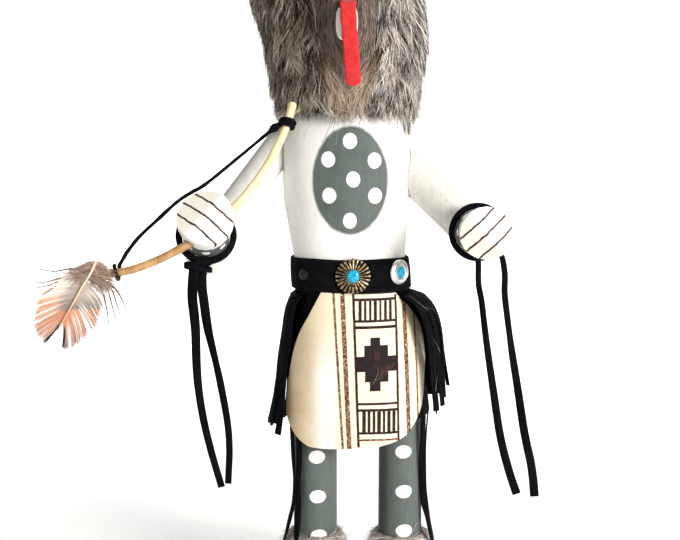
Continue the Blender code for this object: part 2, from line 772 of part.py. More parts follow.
def make_upper_arm(name, shoulder, elbow, shoulder_r, elbow_r, mat):
    length = (elbow - shoulder).length
    rings = [circle(shoulder_r, 0), circle(elbow_r, length)]
    o = add_object(name, loft(rings), mat)
    point_along(o, elbow - shoulder, shoulder)
    return o


def make_wrist_lace(name, direction, at, mat):
    """A lace round the wrist, behind the painted cuff."""
    major = WRIST_RADIUS + GAP + LACE_RADIUS
    rings = []
    for i in range(5):
        t = math.pi + 2 * math.pi * i / 5
        rings.append(circle(major + LACE_RADIUS * math.cos(t), LACE_RADIUS * math.sin(t)))
    o = add_object(name, closed_loft(rings), mat)
    o.matrix_world = aim_matrix(direction, at - direction.normalized() * LACE_BACK)
    return o


def make_lace_end(name, start, outward, route, mat):
    """A free end of the wrist's lace. It leaves the lace squarely and then hangs."""
    bend = [start + outward * 0.0025, start + outward * 0.0045 + Vector((0, 0, -0.0050))]
    points = [start] + smooth_line(bend + [start + Vector(q) for q in route], 15)
    curve = bpy.data.curves.new(name, "CURVE")
    curve.dimensions = "3D"
    curve.bevel_depth = LACE_END_RADIUS
    curve.bevel_resolution = 2
    curve.use_fill_caps = True
    curve.resolution_u = 1
    curve.render_resolution_u = 0
    spline = curve.splines.new("POLY")
    spline.points.add(len(points) - 1)
    for q, p in zip(spline.points, points):
        q.co = (*p, 1.0)
    curve.materials.append(mat)
    o = bpy.data.objects.new(name, curve)
    bpy.context.scene.collection.objects.link(o)
    return o


def under_wrist(hand, direction, sideways):
    """A place just outside the wrist lace, sideways from its lowest point, and the way out there."""
    z = direction.normalized()
    centre = hand - z * LACE_BACK
    reach = WRIST_RADIUS + GAP + 2 * LACE_RADIUS + GAP
    up = (Vector((0, 0, 1)) - z * z.z).normalized()
    level = up.cross(z)
    turn = math.asin(sideways / reach)
    outward = level * math.sin(turn) - up * math.cos(turn)
    return centre + outward * reach, outward


def make_lace_ends(mat):
    start, outward = under_wrist(HAND_RIGHT, FOREARM_RIGHT_AIM, -0.0062)
    route = [(-0.0022, -0.0032, -0.0140), (-0.0012, -0.0034, -0.028), (0.0000, -0.0036, -0.055),
             (0.0044, -0.0038, -0.080), (0.0118, -0.0040, -0.1035)]
    make_lace_end("lace_end_right_outer", start, outward, route, mat)
    start, outward = under_wrist(HAND_RIGHT, FOREARM_RIGHT_AIM, -0.0002)
    route = [(0.0008, -0.0022, -0.0140), (0.0026, -0.0016, -0.028), (0.0076, -0.0004, -0.055),
             (0.0106, 0.0000, -0.080), (0.0088, 0.0002, -0.1020)]
    make_lace_end("lace_end_right_inner", start, outward, route, mat)
    start, outward = under_wrist(HAND_LEFT, FOREARM_LEFT_AIM, 0.0003)
    route = [(0.0017, -0.0004, -0.018), (0.0045, -0.0008, -0.039), (0.0080, -0.0012, -0.0615),
             (0.0117, -0.0016, -0.084), (0.0160, -0.0018, -0.1005), (0.0201, -0.0018, -0.1125)]
    make_lace_end("lace_end_left_inner", start, outward, route, mat)
    start, outward = under_wrist(HAND_LEFT, FOREARM_LEFT_AIM, 0.0098)
    route = [(0.0032, -0.0004, -0.0185), (0.0064, -0.0008, -0.042), (0.0102, -0.0012, -0.0645),
             (0.0140, -0.0016, -0.087), (0.0178, -0.0018, -0.104), (0.0194, -0.0018, -0.118)]
    make_lace_end("lace_end_left_outer", start, outward, route, mat)


def make_arms(wood, suede, torso_room):
    right_across = Vector((0.765, -0.644, 0)).normalized()
    left_across = Vector((0.73, 0.68, 0)).normalized()
    forearm_right = make_forearm("forearm_right", FOREARM_RIGHT_AIM, HAND_RIGHT, FOREARM_RIGHT_LENGTH,
                                 HAND_RIGHT_RADIUS, right_across, wood)
    make_forearm("forearm_left", FOREARM_LEFT_AIM, HAND_LEFT, FOREARM_LEFT_LENGTH,
                 HAND_LEFT_RADIUS, left_across, wood)
    room_right = make_forearm_cutter("forearm_right_room", FOREARM_RIGHT_AIM, HAND_RIGHT, FOREARM_RIGHT_LENGTH,
                                     HAND_RIGHT_RADIUS, wood)
    room_left = make_forearm_cutter("forearm_left_room", FOREARM_LEFT_AIM, HAND_LEFT, FOREARM_LEFT_LENGTH,
                                    HAND_LEFT_RADIUS, wood)
    elbow_right = HAND_RIGHT - FOREARM_RIGHT_AIM.normalized() * ELBOW_RIGHT_BACK
    elbow_left = HAND_LEFT - FOREARM_LEFT_AIM.normalized() * ELBOW_LEFT_BACK
    arm = make_upper_arm("upper_arm_right", SHOULDER_RIGHT, elbow_right, UPPER_ARM_RIGHT_SHOULDER_R,
                         UPPER_ARM_RIGHT_ELBOW_R, wood)
    cut(arm, torso_room)
    cut(arm, room_right)
    arm = make_upper_arm("upper_arm_left", SHOULDER_LEFT, elbow_left, UPPER_ARM_LEFT_SHOULDER_R,
                         UPPER_ARM_LEFT_ELBOW_R, wood)
    cut(arm, torso_room)
    cut(arm, room_left)
    make_wrist_lace("wrist_lace_right", FOREARM_RIGHT_AIM, HAND_RIGHT, suede)
    make_wrist_lace("wrist_lace_left", FOREARM_LEFT_AIM, HAND_LEFT, suede)
    make_lace_ends(suede)
    return forearm_right


# Bow

def bow_frame():
    """The plane across the right forearm that bow and string lie in."""
    return aim_matrix(FOREARM_RIGHT_AIM, HAND_RIGHT - FOREARM_RIGHT_AIM.normalized() * BOW_BACK)


def in_bow_plane(flat):
    m = bow_frame()
    return [m @ Vector((p[0], p[1], 0)) for p in flat]


# Points across the hand's axis and upwards, in the bow's plane
BOW_ROUTE = [
    (0.0402, 0.0567), (0.0363, 0.0442), (0.0295, 0.0296), (0.0221, 0.0179), (0.0128, 0.0067),
    (-0.0032, -0.0075), (-0.0135, -0.0141), (-0.0244, -0.0194), (-0.0334, -0.0224), (-0.0409, -0.0232),
]
STRING_ROUTE = [
    (0.0313, 0.0449), (0.0157, 0.0310), (0.0006, 0.0178), (-0.0063, 0.0134), (-0.0124, 0.0090),
    (-0.0205, 0.0010), (-0.0286, -0.0072), (-0.0338, -0.0144),
]


def bow_points():
    return in_bow_plane(smooth_line(BOW_ROUTE, 20))


def make_bow(mat, string_mat, hand):
    points = bow_points()
    radii = [BOW_RADIUS] * len(points)
    first = points[0] + (points[0] - points[1]).normalized() * BOW_RADIUS * 0.5
    points, radii = [first] + points, [BOW_RADIUS * 0.6] + radii
    add_object("bow_stick", tube(points, radii, 8), mat)
    room = BOW_RADIUS + GAP
    cutter = hide_cutter(add_object("bow_room", tube(points, [room] * len(points), 8), mat))
    cut(hand, cutter)
    line = string_points()
    add_object("bow_string", tube(line, [STRING_RADIUS] * len(line), 5), string_mat)


def turns_round(share, count, start):
    """Points that wind round the bow, at a share of its length, from an angle."""
    points = bow_points()
    i = share * (len(points) - 1)
    k = min(int(i), len(points) - 2)
    middle = points[k].lerp(points[k + 1], i - k)
    ahead = (points[k + 1] - points[k]).normalized()
    across = FOREARM_RIGHT_AIM.normalized()
    side = across.cross(ahead).normalized()
    steps = 8
    radius = (BOW_RADIUS + GAP + STRING_RADIUS) / math.cos(math.pi / steps)
    out = []
    for n in range(int(count * steps) + 1):
        t = start + 2 * math.pi * n / steps
        along = STRING_PITCH * (n / steps - count / 2)
        out.append(middle + ahead * along + radius * (math.cos(t) * side + math.sin(t) * across))
    return out


def string_points():
    """The string winds round the bow's top, runs free past the hand and winds round its foot."""
    turns = 1.6
    top = turns_round(0.085, turns, math.pi * (1 - 2 * turns))
    free = in_bow_plane(smooth_line(STRING_ROUTE, 12))
    foot = turns_round(0.972, 1.1, math.pi)
    return top + free + foot


# The feather's left edge, shaft and right edge, from its root, in the bow's plane
FEATHER_LEFT = [
    (-0.0475, -0.0198), (-0.0555, -0.0232), (-0.0610, -0.0277), (-0.0673, -0.0330), (-0.0691, -0.0393),
    (-0.0696, -0.0437), (-0.0690, -0.0492), (-0.0666, -0.0533), (-0.0636, -0.0544),
]
FEATHER_SHAFT = [(-0.0456, -0.0203), (-0.0478, -0.0257), (-0.0511, -0.0316), (-0.0545, -0.0384), (-0.0605, -0.0502)]
FEATHER_RIGHT = [
    (-0.0437, -0.0206), (-0.0403, -0.0243), (-0.0390, -0.0305), (-0.0422, -0.0365), (-0.0439, -0.0419),
    (-0.0460, -0.0480), (-0.0499, -0.0517), (-0.0545, -0.0560), (-0.0590, -0.0568),
]


def make_feather(mat):
    """The feather lies flat against the bow's foot, its vanes bowed a little towards the front."""
    count = 11
    left, shaft, right = (smooth_line(q, count) for q in (FEATHER_LEFT, FEATHER_SHAFT, FEATHER_RIGHT))
    m = bow_frame()
    near = BOW_RADIUS + 2 * STRING_RADIUS + 4 * GAP
    grid, back = [], []
    for k in range(count):
        bow = 0.0012 * math.sin(math.pi * k / (count - 1))
        row = [left[k], left[k].lerp(shaft[k], 0.5), shaft[k], shaft[k].lerp(right[k], 0.5), right[k]]
        lifts = [0.0, 0.7 * bow, bow, 0.7 * bow, 0.0]
        grid.append([m @ Vector((q.x, q.y, near + FEATHER_THICK + h)) for q, h in zip(row, lifts)])
        back.append([m.to_3x3() @ Vector((0, 0, -FEATHER_THICK))] * len(row))
    return add_object("feather", sheet_solid(grid, back), mat)


# Head

def mask_bm(extra=0.0):
    low = SHOULDER_HEIGHT + GAP
    top = MASK_TOP
    r = MASK_RADIUS
    profile = [(low - extra, r), (top - 0.016, r), (top - 0.008, r * 0.92)]
    profile += [(top - 0.0025, r * 0.70), (top, r * 0.33)]
    lifts = [0, 0, 0.4 * extra, 0.9 * extra, extra]
    return loft([circle(rr + extra, z + lift, HEAD_SIDES) for (z, rr), lift in zip(profile, lifts)])


def make_mask(mat):
    o = add_object("mask", mask_bm(), mat)
    o.location.x = MASK_X
    return o


def make_mask_cutter(mat):
    o = add_object("mask_room", mask_bm(GAP), mat)
    o.location.x = MASK_X
    return hide_cutter(o)


def box_ring(x, y, half_w, low, high, corner=0.35):
    """A rounded upright section at y, from low to high."""
    mid, half_h = (low + high) / 2, (high - low) / 2
    out = []
    for i in range(16):
        t = 2 * math.pi * i / 16
        c = math.copysign(abs(math.cos(t)) ** (1 - corner), math.cos(t))
        s = math.copysign(abs(math.sin(t)) ** (1 - corner), math.sin(t))
        out.append(Vector((x + half_w * c, y, mid + half_h * s)))
    return out


def make_jaws(mat, mask_room):
    face = -MASK_RADIUS
    root = face + 0.008
    lift = MOUTH_HEIGHT + TONGUE_THICK + GAP
    tip = face - UPPER_JAW_LENGTH
    rings = [
        box_ring(MASK_X, root, JAW_WIDTH * 0.85, lift + 0.0005, lift + 0.0175),
        box_ring(MASK_X, (root + tip) / 2, JAW_WIDTH * 0.72, lift + 0.0003, lift + 0.0150),
        box_ring(MASK_X, tip + 0.003, JAW_WIDTH * 0.58, lift, lift + 0.0118),
        box_ring(MASK_X, tip, JAW_WIDTH * 0.44, lift + 0.0012, lift + 0.0096),
    ]
    upper = add_object("upper_jaw", loft(rings), mat)
    cut(upper, mask_room)
    tip = face - LOWER_JAW_LENGTH
    high = MOUTH_HEIGHT - GAP
    rings = [
        box_ring(MASK_X, root, JAW_WIDTH * 0.70, high - 0.0080, high),
        box_ring(MASK_X, (root + tip) / 2, JAW_WIDTH * 0.60, high - 0.0105, high),
        box_ring(MASK_X, tip + 0.0015, JAW_WIDTH * 0.50, high - 0.0160, high),
        box_ring(MASK_X, tip, JAW_WIDTH * 0.46, high - 0.0152, high - 0.0006),
    ]
    lower = add_object("lower_jaw", loft(rings), mat)
    cut(lower, mask_room)


def make_tongue(mat):
    """A felt strip that comes out of the mouth and hangs over the lower jaw."""
    half = TONGUE_THICK / 2
    jaw_front = -MASK_RADIUS - LOWER_JAW_LENGTH
    over = MOUTH_HEIGHT + half
    y = jaw_front - GAP - half
    route = [
        (MASK_X, jaw_front + 0.012, over), (MASK_X, jaw_front + 0.0042, over),
        (MASK_X + 0.0002, jaw_front + 0.0002, over - 0.0001),
        (MASK_X + 0.0004, y - 0.0010, over - 0.0022), (MASK_X + 0.0009, y - 0.0012, over - 0.010),
        (MASK_X + 0.0019, y + 0.0006, over - TONGUE_HANG * 0.58),
        (MASK_X + 0.0030, y + 0.0030, over - TONGUE_HANG),
    ]
    middle = smooth_line(route, 13)
    grid, back = [], []
    for i, p in enumerate(middle):
        ahead = (middle[min(i + 1, len(middle) - 1)] - middle[max(i - 1, 0)]).normalized()
        out = Vector((1, 0, 0)).cross(ahead).normalized()
        if out.y > 0 or out.z < -0.5:
            out = -out
        narrow = 0.70 if i == len(middle) - 1 else 1.0
        row = []
        for u in (-1, 0, 1):
            drop = -0.0012 * u * u if i == len(middle) - 1 else 0.0
            row.append(p + Vector((u * narrow * TONGUE_WIDTH / 2, 0, -drop)) + out * half)
        grid.append(row)
        back.append([-out * TONGUE_THICK] * 3)
    return add_object("tongue", sheet_solid(grid, back), mat)


def make_ears(mat, mask_room):
    for name, side in (("ear_right", -1), ("ear_left", 1)):
        low = MASK_TOP - 0.014
        x = MASK_X + side * MASK_RADIUS * 0.60
        rings = []
        for share, wide, thick in ((0, 1.0, 1.0), (0.35, 0.95, 0.9), (0.7, 0.62, 0.7), (1.0, 0.16, 0.35)):
            z = low + share * EAR_HEIGHT
            rings.append(oval(x + side * 0.004 * share, 0.0011, EAR_WIDTH / 2 * wide, 0.0026 * thick, z, 12, 2.0))
        o = add_object(name, loft(rings), mat)
        cut(o, mask_room)


def make_ruff(mat):
    """A thick collar of fur that leaves room for torso, mask and jaws."""
    low, high = RUFF_BOTTOM, RUFF_TOP
    tall = high - low
    a, b = RUFF_LOW_HALF, RUFF_HIGH_HALF
    shoulder = torso_half(low) + GAP + 0.0007
    neck = MASK_RADIUS + GAP
    d = RUFF_DEPTH_SHARE
    inner = [
        (neck, neck, high), (neck, neck, SHOULDER_HEIGHT + 0.0012),
        (max(neck, torso_half(SHOULDER_HEIGHT - 0.0012) + 0.0016),
         max(neck, torso_half(SHOULDER_HEIGHT - 0.0012) * TORSO_DEPTH_SHARE + 0.0016), SHOULDER_HEIGHT - 0.0004),
        (max(shoulder, neck), max(neck, shoulder * TORSO_DEPTH_SHARE + 0.0004), low),
    ]
    outer = [
        (a, a * d, low), (a + 0.25 * (b - a), (a + 0.25 * (b - a)) * d, low + 0.14 * tall),
        (a + 0.62 * (b - a), (a + 0.62 * (b - a)) * d, low + 0.40 * tall),
        (b, b * d, low + 0.74 * tall), (b * 0.97, b * 0.97 * d, low + 0.88 * tall),
        (b * 0.78, b * 0.84 * d, high),
    ]
    rings = [oval(MASK_X, 0, ra, rb, z, HEAD_SIDES, 2.0) for ra, rb, z in inner + outer]
    o = add_object("fur_ruff", closed_loft(rings), mat)
    notch_low = MOUTH_HEIGHT - 0.0160 - 0.0020
    wide = JAW_WIDTH * 0.85 + 0.0016
    corner = [(-wide, -0.060), (wide, -0.060), (wide, -0.010), (-wide, -0.010)]
    rings = [[Vector((MASK_X + x, y, z)) for x, y in corner] for z in (notch_low, high + 0.01)]
    cutter = hide_cutter(add_object("jaw_room", loft(rings), mat, smooth=False))
    cut(o, cutter)
    return o


def build():
    clear_scene()
    white = material("white_paint", (0.80, 0.79, 0.75), 0.75)
    grey = material("grey_green_paint", (0.115, 0.135, 0.12), 0.65)
    bare = material("bare_wood", (0.55, 0.38, 0.22), 0.6)
    rust = material("rust_paint", (0.30, 0.11, 0.06), 0.7)
    suede = material("black_suede", (0.012, 0.011, 0.012), 0.95)
    leather = material("cream_leather", (0.72, 0.64, 0.48), 0.85)
    fur = material("fur", (0.20, 0.165, 0.14), 0.9)
    pale_fur = material("pale_fur", (0.55, 0.50, 0.46), 0.9)
    felt = material("red_felt", (0.70, 0.035, 0.03), 0.9)
    reed = material("pale_reed", (0.72, 0.52, 0.27), 0.55)
    plume = material("feather", (0.42, 0.27, 0.20), 0.8)
    brass = material("old_brass", (0.42, 0.29, 0.13), 0.4, 1.0)
    silver = material("silver", (0.72, 0.71, 0.69), 0.3, 1.0)
    stone = material("turquoise", (0.03, 0.42, 0.50), 0.3)
    button = material("black_metal", (0.02, 0.02, 0.022), 0.35, 0.6)

    make_base(bare)
    for name, side in (("right", -1), ("left", 1)):
        make_shoe("moccasin_" + name, side, rust)
        make_leg("leg_" + name, side, grey)
        make_ankle_fur("ankle_fur_" + name, side, pale_fur)
    make_torso(white)
    torso_room = make_torso_cutter(white)
    make_skirt(suede)
    make_apron(leather)
    make_belt(suede)
    make_flower_concho(brass, stone)
    make_round_concho(silver, stone)
    make_button(button)
    make_fringes(suede)
    make_leg_fringes(suede)
    hand = make_arms(white, suede, torso_room)
    make_bow(reed, suede, hand)
    make_feather(plume)
    mask_room = make_mask_cutter(grey)
    make_mask(grey)
    make_jaws(white, mask_room)
    make_ears(grey, mask_room)
    make_tongue(felt)
    make_ruff(fur)


build()
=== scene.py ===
"""Looks for a carved kachina doll with a bow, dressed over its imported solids."""

import math

import bmesh
import bpy
import numpy as np
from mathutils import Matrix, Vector


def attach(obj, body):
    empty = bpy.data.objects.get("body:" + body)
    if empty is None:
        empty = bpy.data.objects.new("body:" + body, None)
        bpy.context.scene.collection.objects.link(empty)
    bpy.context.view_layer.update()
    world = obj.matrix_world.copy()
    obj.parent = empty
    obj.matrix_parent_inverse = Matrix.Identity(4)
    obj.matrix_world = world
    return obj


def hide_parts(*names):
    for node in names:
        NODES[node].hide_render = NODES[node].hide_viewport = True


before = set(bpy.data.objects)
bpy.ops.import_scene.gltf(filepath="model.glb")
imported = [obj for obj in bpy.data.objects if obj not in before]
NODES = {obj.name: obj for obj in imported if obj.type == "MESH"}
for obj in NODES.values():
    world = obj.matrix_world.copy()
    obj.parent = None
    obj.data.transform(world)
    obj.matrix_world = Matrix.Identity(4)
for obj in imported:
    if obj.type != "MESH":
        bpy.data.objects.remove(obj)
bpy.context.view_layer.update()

CHANCE = np.random.default_rng(7)

# Sizes of the solids that the pieces fit, in metres
GAP = 0.0003
LEG_X = 0.02175
LEG_Y = -0.004
HEM = 0.1036
WRIST_RADIUS = 0.0107
SUEDE_THICK = 0.0009


# Camera and light


def set_camera():
    """The photograph's view: level with the waist, half a metre in front, looking a little down."""
    lens = bpy.data.cameras.new("view")
    lens.sensor_width = 36.0
    lens.lens = 36.0 * 998.8 / 680
    lens.clip_start = 0.01
    camera = bpy.data.objects.new("view", lens)
    camera.location = (-0.00907, -0.500, 0.237)
    camera.rotation_euler = (math.radians(83), 0, 0)
    bpy.context.scene.collection.objects.link(camera)
    bpy.context.scene.camera = camera


def area_light(name, place, aim, size, watts, colour=(1, 1, 1)):
    light = bpy.data.lights.new(name, "AREA")
    light.shape = "DISK"
    light.size = size
    light.energy = watts
    light.color = colour
    o = bpy.data.objects.new(name, light)
    o.location = place
    o.rotation_euler = (Vector(aim) - Vector(place)).to_track_quat("-Z", "Y").to_euler()
    bpy.context.scene.collection.objects.link(o)


def light_studio():
    """A large soft light from the front right, a weak one opposite, and a wash on the backdrop."""
    waist = (0, 0, 0.18)
    area_light("window_right", (0.85, -0.85, 0.48), waist, 0.5, 19, (1.0, 0.99, 0.97))
    area_light("bounce_left", (-0.9, -0.8, 0.35), waist, 0.8, 2.6, (1.0, 0.96, 0.92))
    area_light("overhead", (0.15, 0.05, 1.2), waist, 0.7, 4)
    area_light("backdrop_wash", (0, 0.45, 0.85), (0, 1.4, 0.35), 0.6, 18)
    world = bpy.data.worlds.new("studio")
    world.use_nodes = True
    bright = world.node_tree.nodes["Background"]
    bright.inputs["Color"].default_value = (1.0, 0.99, 0.98, 1)
    bright.inputs["Strength"].default_value = 0.15
    bpy.context.scene.world = world
    bpy.context.scene.view_settings.view_transform = "Standard"


# Making meshes


def smooth_line(points, count):
    """Points read from a smooth curve through the given ones, evenly along it."""
    p = [np.array(q, float) for q in points]
    p = [2 * p[0] - p[1]] + p + [2 * p[-1] - p[-2]]
    fine = []
    for i in range(1, len(p) - 2):
        a, b, c, d = p[i - 1 : i + 3]
        for t in np.linspace(0, 1, 24, endpoint=False):
            square, cube = (2 * a - 5 * b + 4 * c - d) * t**2, (3 * b - a - 3 * c + d) * t**3
            fine.append(0.5 * (2 * b + (c - a) * t + square + cube))
    fine.append(p[-2])
    return evenly(np.array(fine), count)


def evenly(points, count):
    along = lengths(points)
    at = np.linspace(0, along[-1], count)
    return np.stack([np.interp(at, along, points[:, k]) for k in range(points.shape[1])], axis=1)


def lengths(points):
    return np.concatenate([[0], np.cumsum(np.linalg.norm(np.diff(points, axis=0), axis=1))])


def unit(v):
    return v / np.maximum(np.linalg.norm(v, axis=-1, keepdims=True), 1e-12)


def onward(points):
    """The direction ahead at each point of a line, or of each line."""
    return unit(np.gradient(points, axis=-2))


def circle(count):
    return np.linspace(0, 2 * math.pi, count, endpoint=False)


def piece(name, shape, material, stands_for, crease=None):
    """A visible piece that rides on the doll. shape is its points, its faces and a pair of shares for
    each point. Edges sharper than crease, in degrees, stay sharp."""
    verts, faces, uv = shape
    mesh = bpy.data.meshes.new(name)
    mesh.from_pydata(np.asarray(verts, float), [], faces)
    mesh.shade_smooth()
    if uv is not None:
        corner = np.empty(len(mesh.loops), np.int32)
        mesh.loops.foreach_get("vertex_index", corner)
        layer = mesh.uv_layers.new(name="along")
        layer.data.foreach_set("uv", np.asarray(uv, np.float32)[corner].ravel())
    mesh.materials.append(material)
    o = bpy.data.objects.new(name, mesh)
    bpy.context.scene.collection.objects.link(o)
    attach(o, "root")
    if stands_for:
        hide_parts(stands_for)
    if crease:
        mesh.set_sharp_from_angle(angle=math.radians(crease))
    return o


def joined(shapes):
    """One shape of several."""
    verts, faces, uv, count = [], [], [], 0
    for points, sides, shares in shapes:
        verts.append(points)
        uv.append(shares)
        faces += [[i + count for i in side] for side in sides]
        count += len(points)
    return np.concatenate(verts), faces, np.concatenate(uv)


def grid_faces(rows, columns, wrap=False):
    faces = []
    for i in range(rows - 1):
        for j in range(columns if wrap else columns - 1):
            k = (j + 1) % columns
            faces.append([i * columns + j, i * columns + k, (i + 1) * columns + k, (i + 1) * columns + j])
    return faces


def skin(rings, hoop=False):
    """A skin through rings of points, capped at its ends. A hoop comes back to its first ring."""
    rings = np.asarray(rings, float)
    rows, columns = rings.shape[:2]
    faces = grid_faces(rows, columns, wrap=True)
    last = (rows - 1) * columns
    if hoop:
        faces += [[last + j, last + (j + 1) % columns, (j + 1) % columns, j] for j in range(columns)]
    else:
        faces += [list(range(columns))[::-1], list(range(last, last + columns))]
    v = np.repeat(np.linspace(0, 1, rows), columns)
    u = np.tile(np.linspace(0, 1, columns), rows)
    return rings.reshape(-1, 3), faces, np.stack([u, v], axis=1)


def slab(front, back):
    """A closed sheet between two grids of points."""
    rows, columns = front.shape[:2]
    n = rows * columns
    face = grid_faces(rows, columns)
    faces = face + [[n + i for i in f][::-1] for f in face]
    edge = list(range(columns))
    edge += [i * columns + columns - 1 for i in range(1, rows)]
    edge += [(rows - 1) * columns + j for j in range(columns - 2, -1, -1)]
    edge += [i * columns for i in range(rows - 2, 0, -1)]
    faces += [[b, a, n + a, n + b] for a, b in zip(edge, edge[1:] + edge[:1])]
    u, v = np.meshgrid(np.linspace(0, 1, columns), np.linspace(0, 1, rows))
    uv = np.stack([u.ravel(), v.ravel()], axis=1)
    return np.concatenate([front.reshape(-1, 3), back.reshape(-1, 3)]), faces, np.concatenate([uv, uv])


def tube(points, radii, count, side):
    """A round rod through points. side is where its first seam starts, turned on as little as possible."""
    ahead = onward(points)
    sides = []
    for a in ahead:
        side = unit(side - a * np.dot(side, a))
        sides.append(side)
    sides = np.array(sides)
    turn = circle(count)[None, :, None]
    ring = np.cos(turn) * sides[:, None, :] + np.sin(turn) * np.cross(ahead, sides)[:, None, :]
    return skin(points[:, None, :] + np.reshape(radii, (-1, 1, 1)) * ring)


def thong(points, width, thick, side, twist=0.0):
    """A flat strip of suede with softened edges. side is the way its width lies at each point."""
    ahead = onward(points)
    side = np.broadcast_to(np.asarray(side, float), points.shape)
    side = unit(side - ahead * np.sum(side * ahead, axis=1, keepdims=True))
    up = np.cross(ahead, side)
    c, s = (np.broadcast_to(v, len(points))[:, None] for v in (np.cos(twist), np.sin(twist)))
    side, up = c * side + s * up, c * up - s * side
    turn = circle(10) + math.pi / 10
    x = np.sign(np.cos(turn)) * np.abs(np.cos(turn)) ** 0.45
    y = np.sign(np.sin(turn)) * np.abs(np.sin(turn)) ** 0.6
    half = np.broadcast_to(np.asarray(width, float), (len(points),))[:, None, None] / 2
    broad = half * x[None, :, None] * side[:, None, :]
    return skin(points[:, None, :] + broad + thick / 2 * y[None, :, None] * up[:, None, :])


def strands(name, points, across, tint, material, slot, stands_for=None):
    """Flat hairs. points is hairs x stations x 3, across the vectors of their half widths."""
    points, across = np.array(points), np.array(across)
    n, k = points.shape[:2]
    verts = np.stack([points - across, points + across], axis=2).reshape(-1, 3)
    start = 2 * k * np.arange(n)[:, None] + 2 * np.arange(k - 1)[None, :]
    faces = np.stack([start, start + 1, start + 3, start + 2], axis=-1).reshape(-1, 4).tolist()
    along = np.tile(np.repeat(np.linspace(0, 1, k), 2), n)
    uv = np.stack([np.repeat(tint, 2 * k), along], axis=1)
    return piece(name, (verts, faces, uv), material, stands_for)


# Shader building


def rgb(r, g, b):
    """A colour given in the usual 0 to 255, as the linear one that shaders take."""
    shares = (r / 255, g / 255, b / 255)
    return (*(c / 12.92 if c <= 0.04045 else ((c + 0.055) / 1.055) ** 2.4 for c in shares), 1.0)


class Field:
    """A value that a shader works out at each point, with the usual sums."""

    def __init__(self, socket):
        self.socket = socket

    def __add__(self, other):
        return calc("ADD", self, other)

    def __sub__(self, other):
        return calc("SUBTRACT", self, other)

    def __rsub__(self, other):
        return calc("SUBTRACT", other, self)

    def __mul__(self, other):
        return calc("MULTIPLY", self, other)

    def __truediv__(self, other):
        return calc("DIVIDE", self, other)

    def __abs__(self):
        return calc("ABSOLUTE", self)


class Made:
    """A node, whose outputs are read as fields by number or label."""

    def __init__(self, made):
        self.made = made

    def __getitem__(self, key):
        return Field(self.made.outputs[key])


def fill(made, values):
    """Links each field to the input of that number or label, and sets the plain values."""
    for key, value in values.items():
        if isinstance(value, Field):
            made.id_data.links.new(value.socket, made.inputs[key])
        elif value is not None:
            made.inputs[key].default_value = value


def node(kind, inputs=(), tree=None, **settings):
    """A node in the tree that its inputs come from."""
    values = inputs if isinstance(inputs, dict) else dict(enumerate(inputs))
    if tree is None:
        tree = next(v.socket.id_data for v in values.values() if isinstance(v, Field))
    made = tree.nodes.new("ShaderNode" + kind)
    for key, value in settings.items():
        setattr(made, key, value)
    fill(made, values)
    return Made(made)


def calc(operation, a, b=None):
    return node("Math", (a, b), operation=operation)[0]


def vector(operation, a, b=None):
    return node("VectorMath", (a, b), operation=operation)[0]


def split(place):
    return node("SeparateXYZ", (place,))


def mix(share, a, b):
    return node("Mix", {0: share, 6: a, 7: b}, data_type="RGBA")[2]


def noise(place, scale, detail=3.0, rough=0.55):
    return node("TexNoise", {"Vector": place, "Scale": scale, "Detail": detail, "Roughness": rough})[0]


def step(value, low, high, soft=True):
    """0 below low and 1 above high, or the other way round if low is the larger."""
    kind = "SMOOTHSTEP" if soft else "LINEAR"
    return node("MapRange", (value, low, high, 0.0, 1.0), interpolation_type=kind)[0]


def ramp(value, stops):
    n = node("ValToRGB", (value,))
    elements = n.made.color_ramp.elements
    while len(elements) < len(stops):
        elements.new(0.5)
    for e, (at, colour) in zip(elements, stops):
        e.position = at
        e.color = colour
    return n[0]


def shader_group(name, inputs, outputs, build):
    """A group of nodes. build takes a field for each input and returns one for each output."""
    tree = bpy.data.node_groups.new(name, "ShaderNodeTree")
    for label, kind in inputs.items():
        tree.interface.new_socket(label, in_out="INPUT", socket_type="NodeSocket" + kind)
    for label in outputs:
        tree.interface.new_socket(label, in_out="OUTPUT", socket_type="NodeSocketFloat")
    get = Made(tree.nodes.new("NodeGroupInput"))
    fill(tree.nodes.new("NodeGroupOutput"), dict(zip(outputs, build(*[get[label] for label in inputs]))))
    return tree


def use(group, **inputs):
    """A copy of a group. A label's spaces are written as _ here."""
    return node("Group", {key.replace("_", " "): value for key, value in inputs.items()}, node_tree=group)


def painted_spot(position, centre, radius_x, radius_z, ragged):
    """An oval spot on the side that faces the front, with a hand-painted edge."""
    off = split(vector("SUBTRACT", position, centre))
    x, z = off[0] / radius_x, off[2] / radius_z
    far = (noise(position, 260.0) - 0.5) * ragged + calc("SQRT", x * x + z * z)
    return [step(far, 1.04, 0.96) * calc("LESS_THAN", off[1], 0.0)]


def burned_line(position, top, foot, width):
    """A line burned into the hide, from a top point to a foot point."""
    p, top, foot = split(position), split(top), split(foot)
    share = (p[2] - top[2]) / (foot[2] - top[2])
    middle = share * (foot[0] - top[0]) + top[0]
    off = (noise(position, 420.0) - 0.5) * 0.0004 + abs(p[0] - middle)
    half = width * 0.5
    mask = step(off, half + 0.00012, half - 0.00018)
    return [mask * step(share, -0.003, 0.003) * step(share, 1.003, 0.997)]


def burned_bar(position, middle, half_width, half_height):
    """An upright block burned into the hide, from its middle out to its half width and half height."""
    off = split(vector("ABSOLUTE", vector("SUBTRACT", position, middle)))
    wobble = (noise(position, 500.0) - 0.5) * 0.0003
    edge = 0.00012
    wide = step(wobble + off[0], half_width + edge, half_width - edge)
    return [wide * step(wobble + off[2], half_height + edge, half_height - edge)]


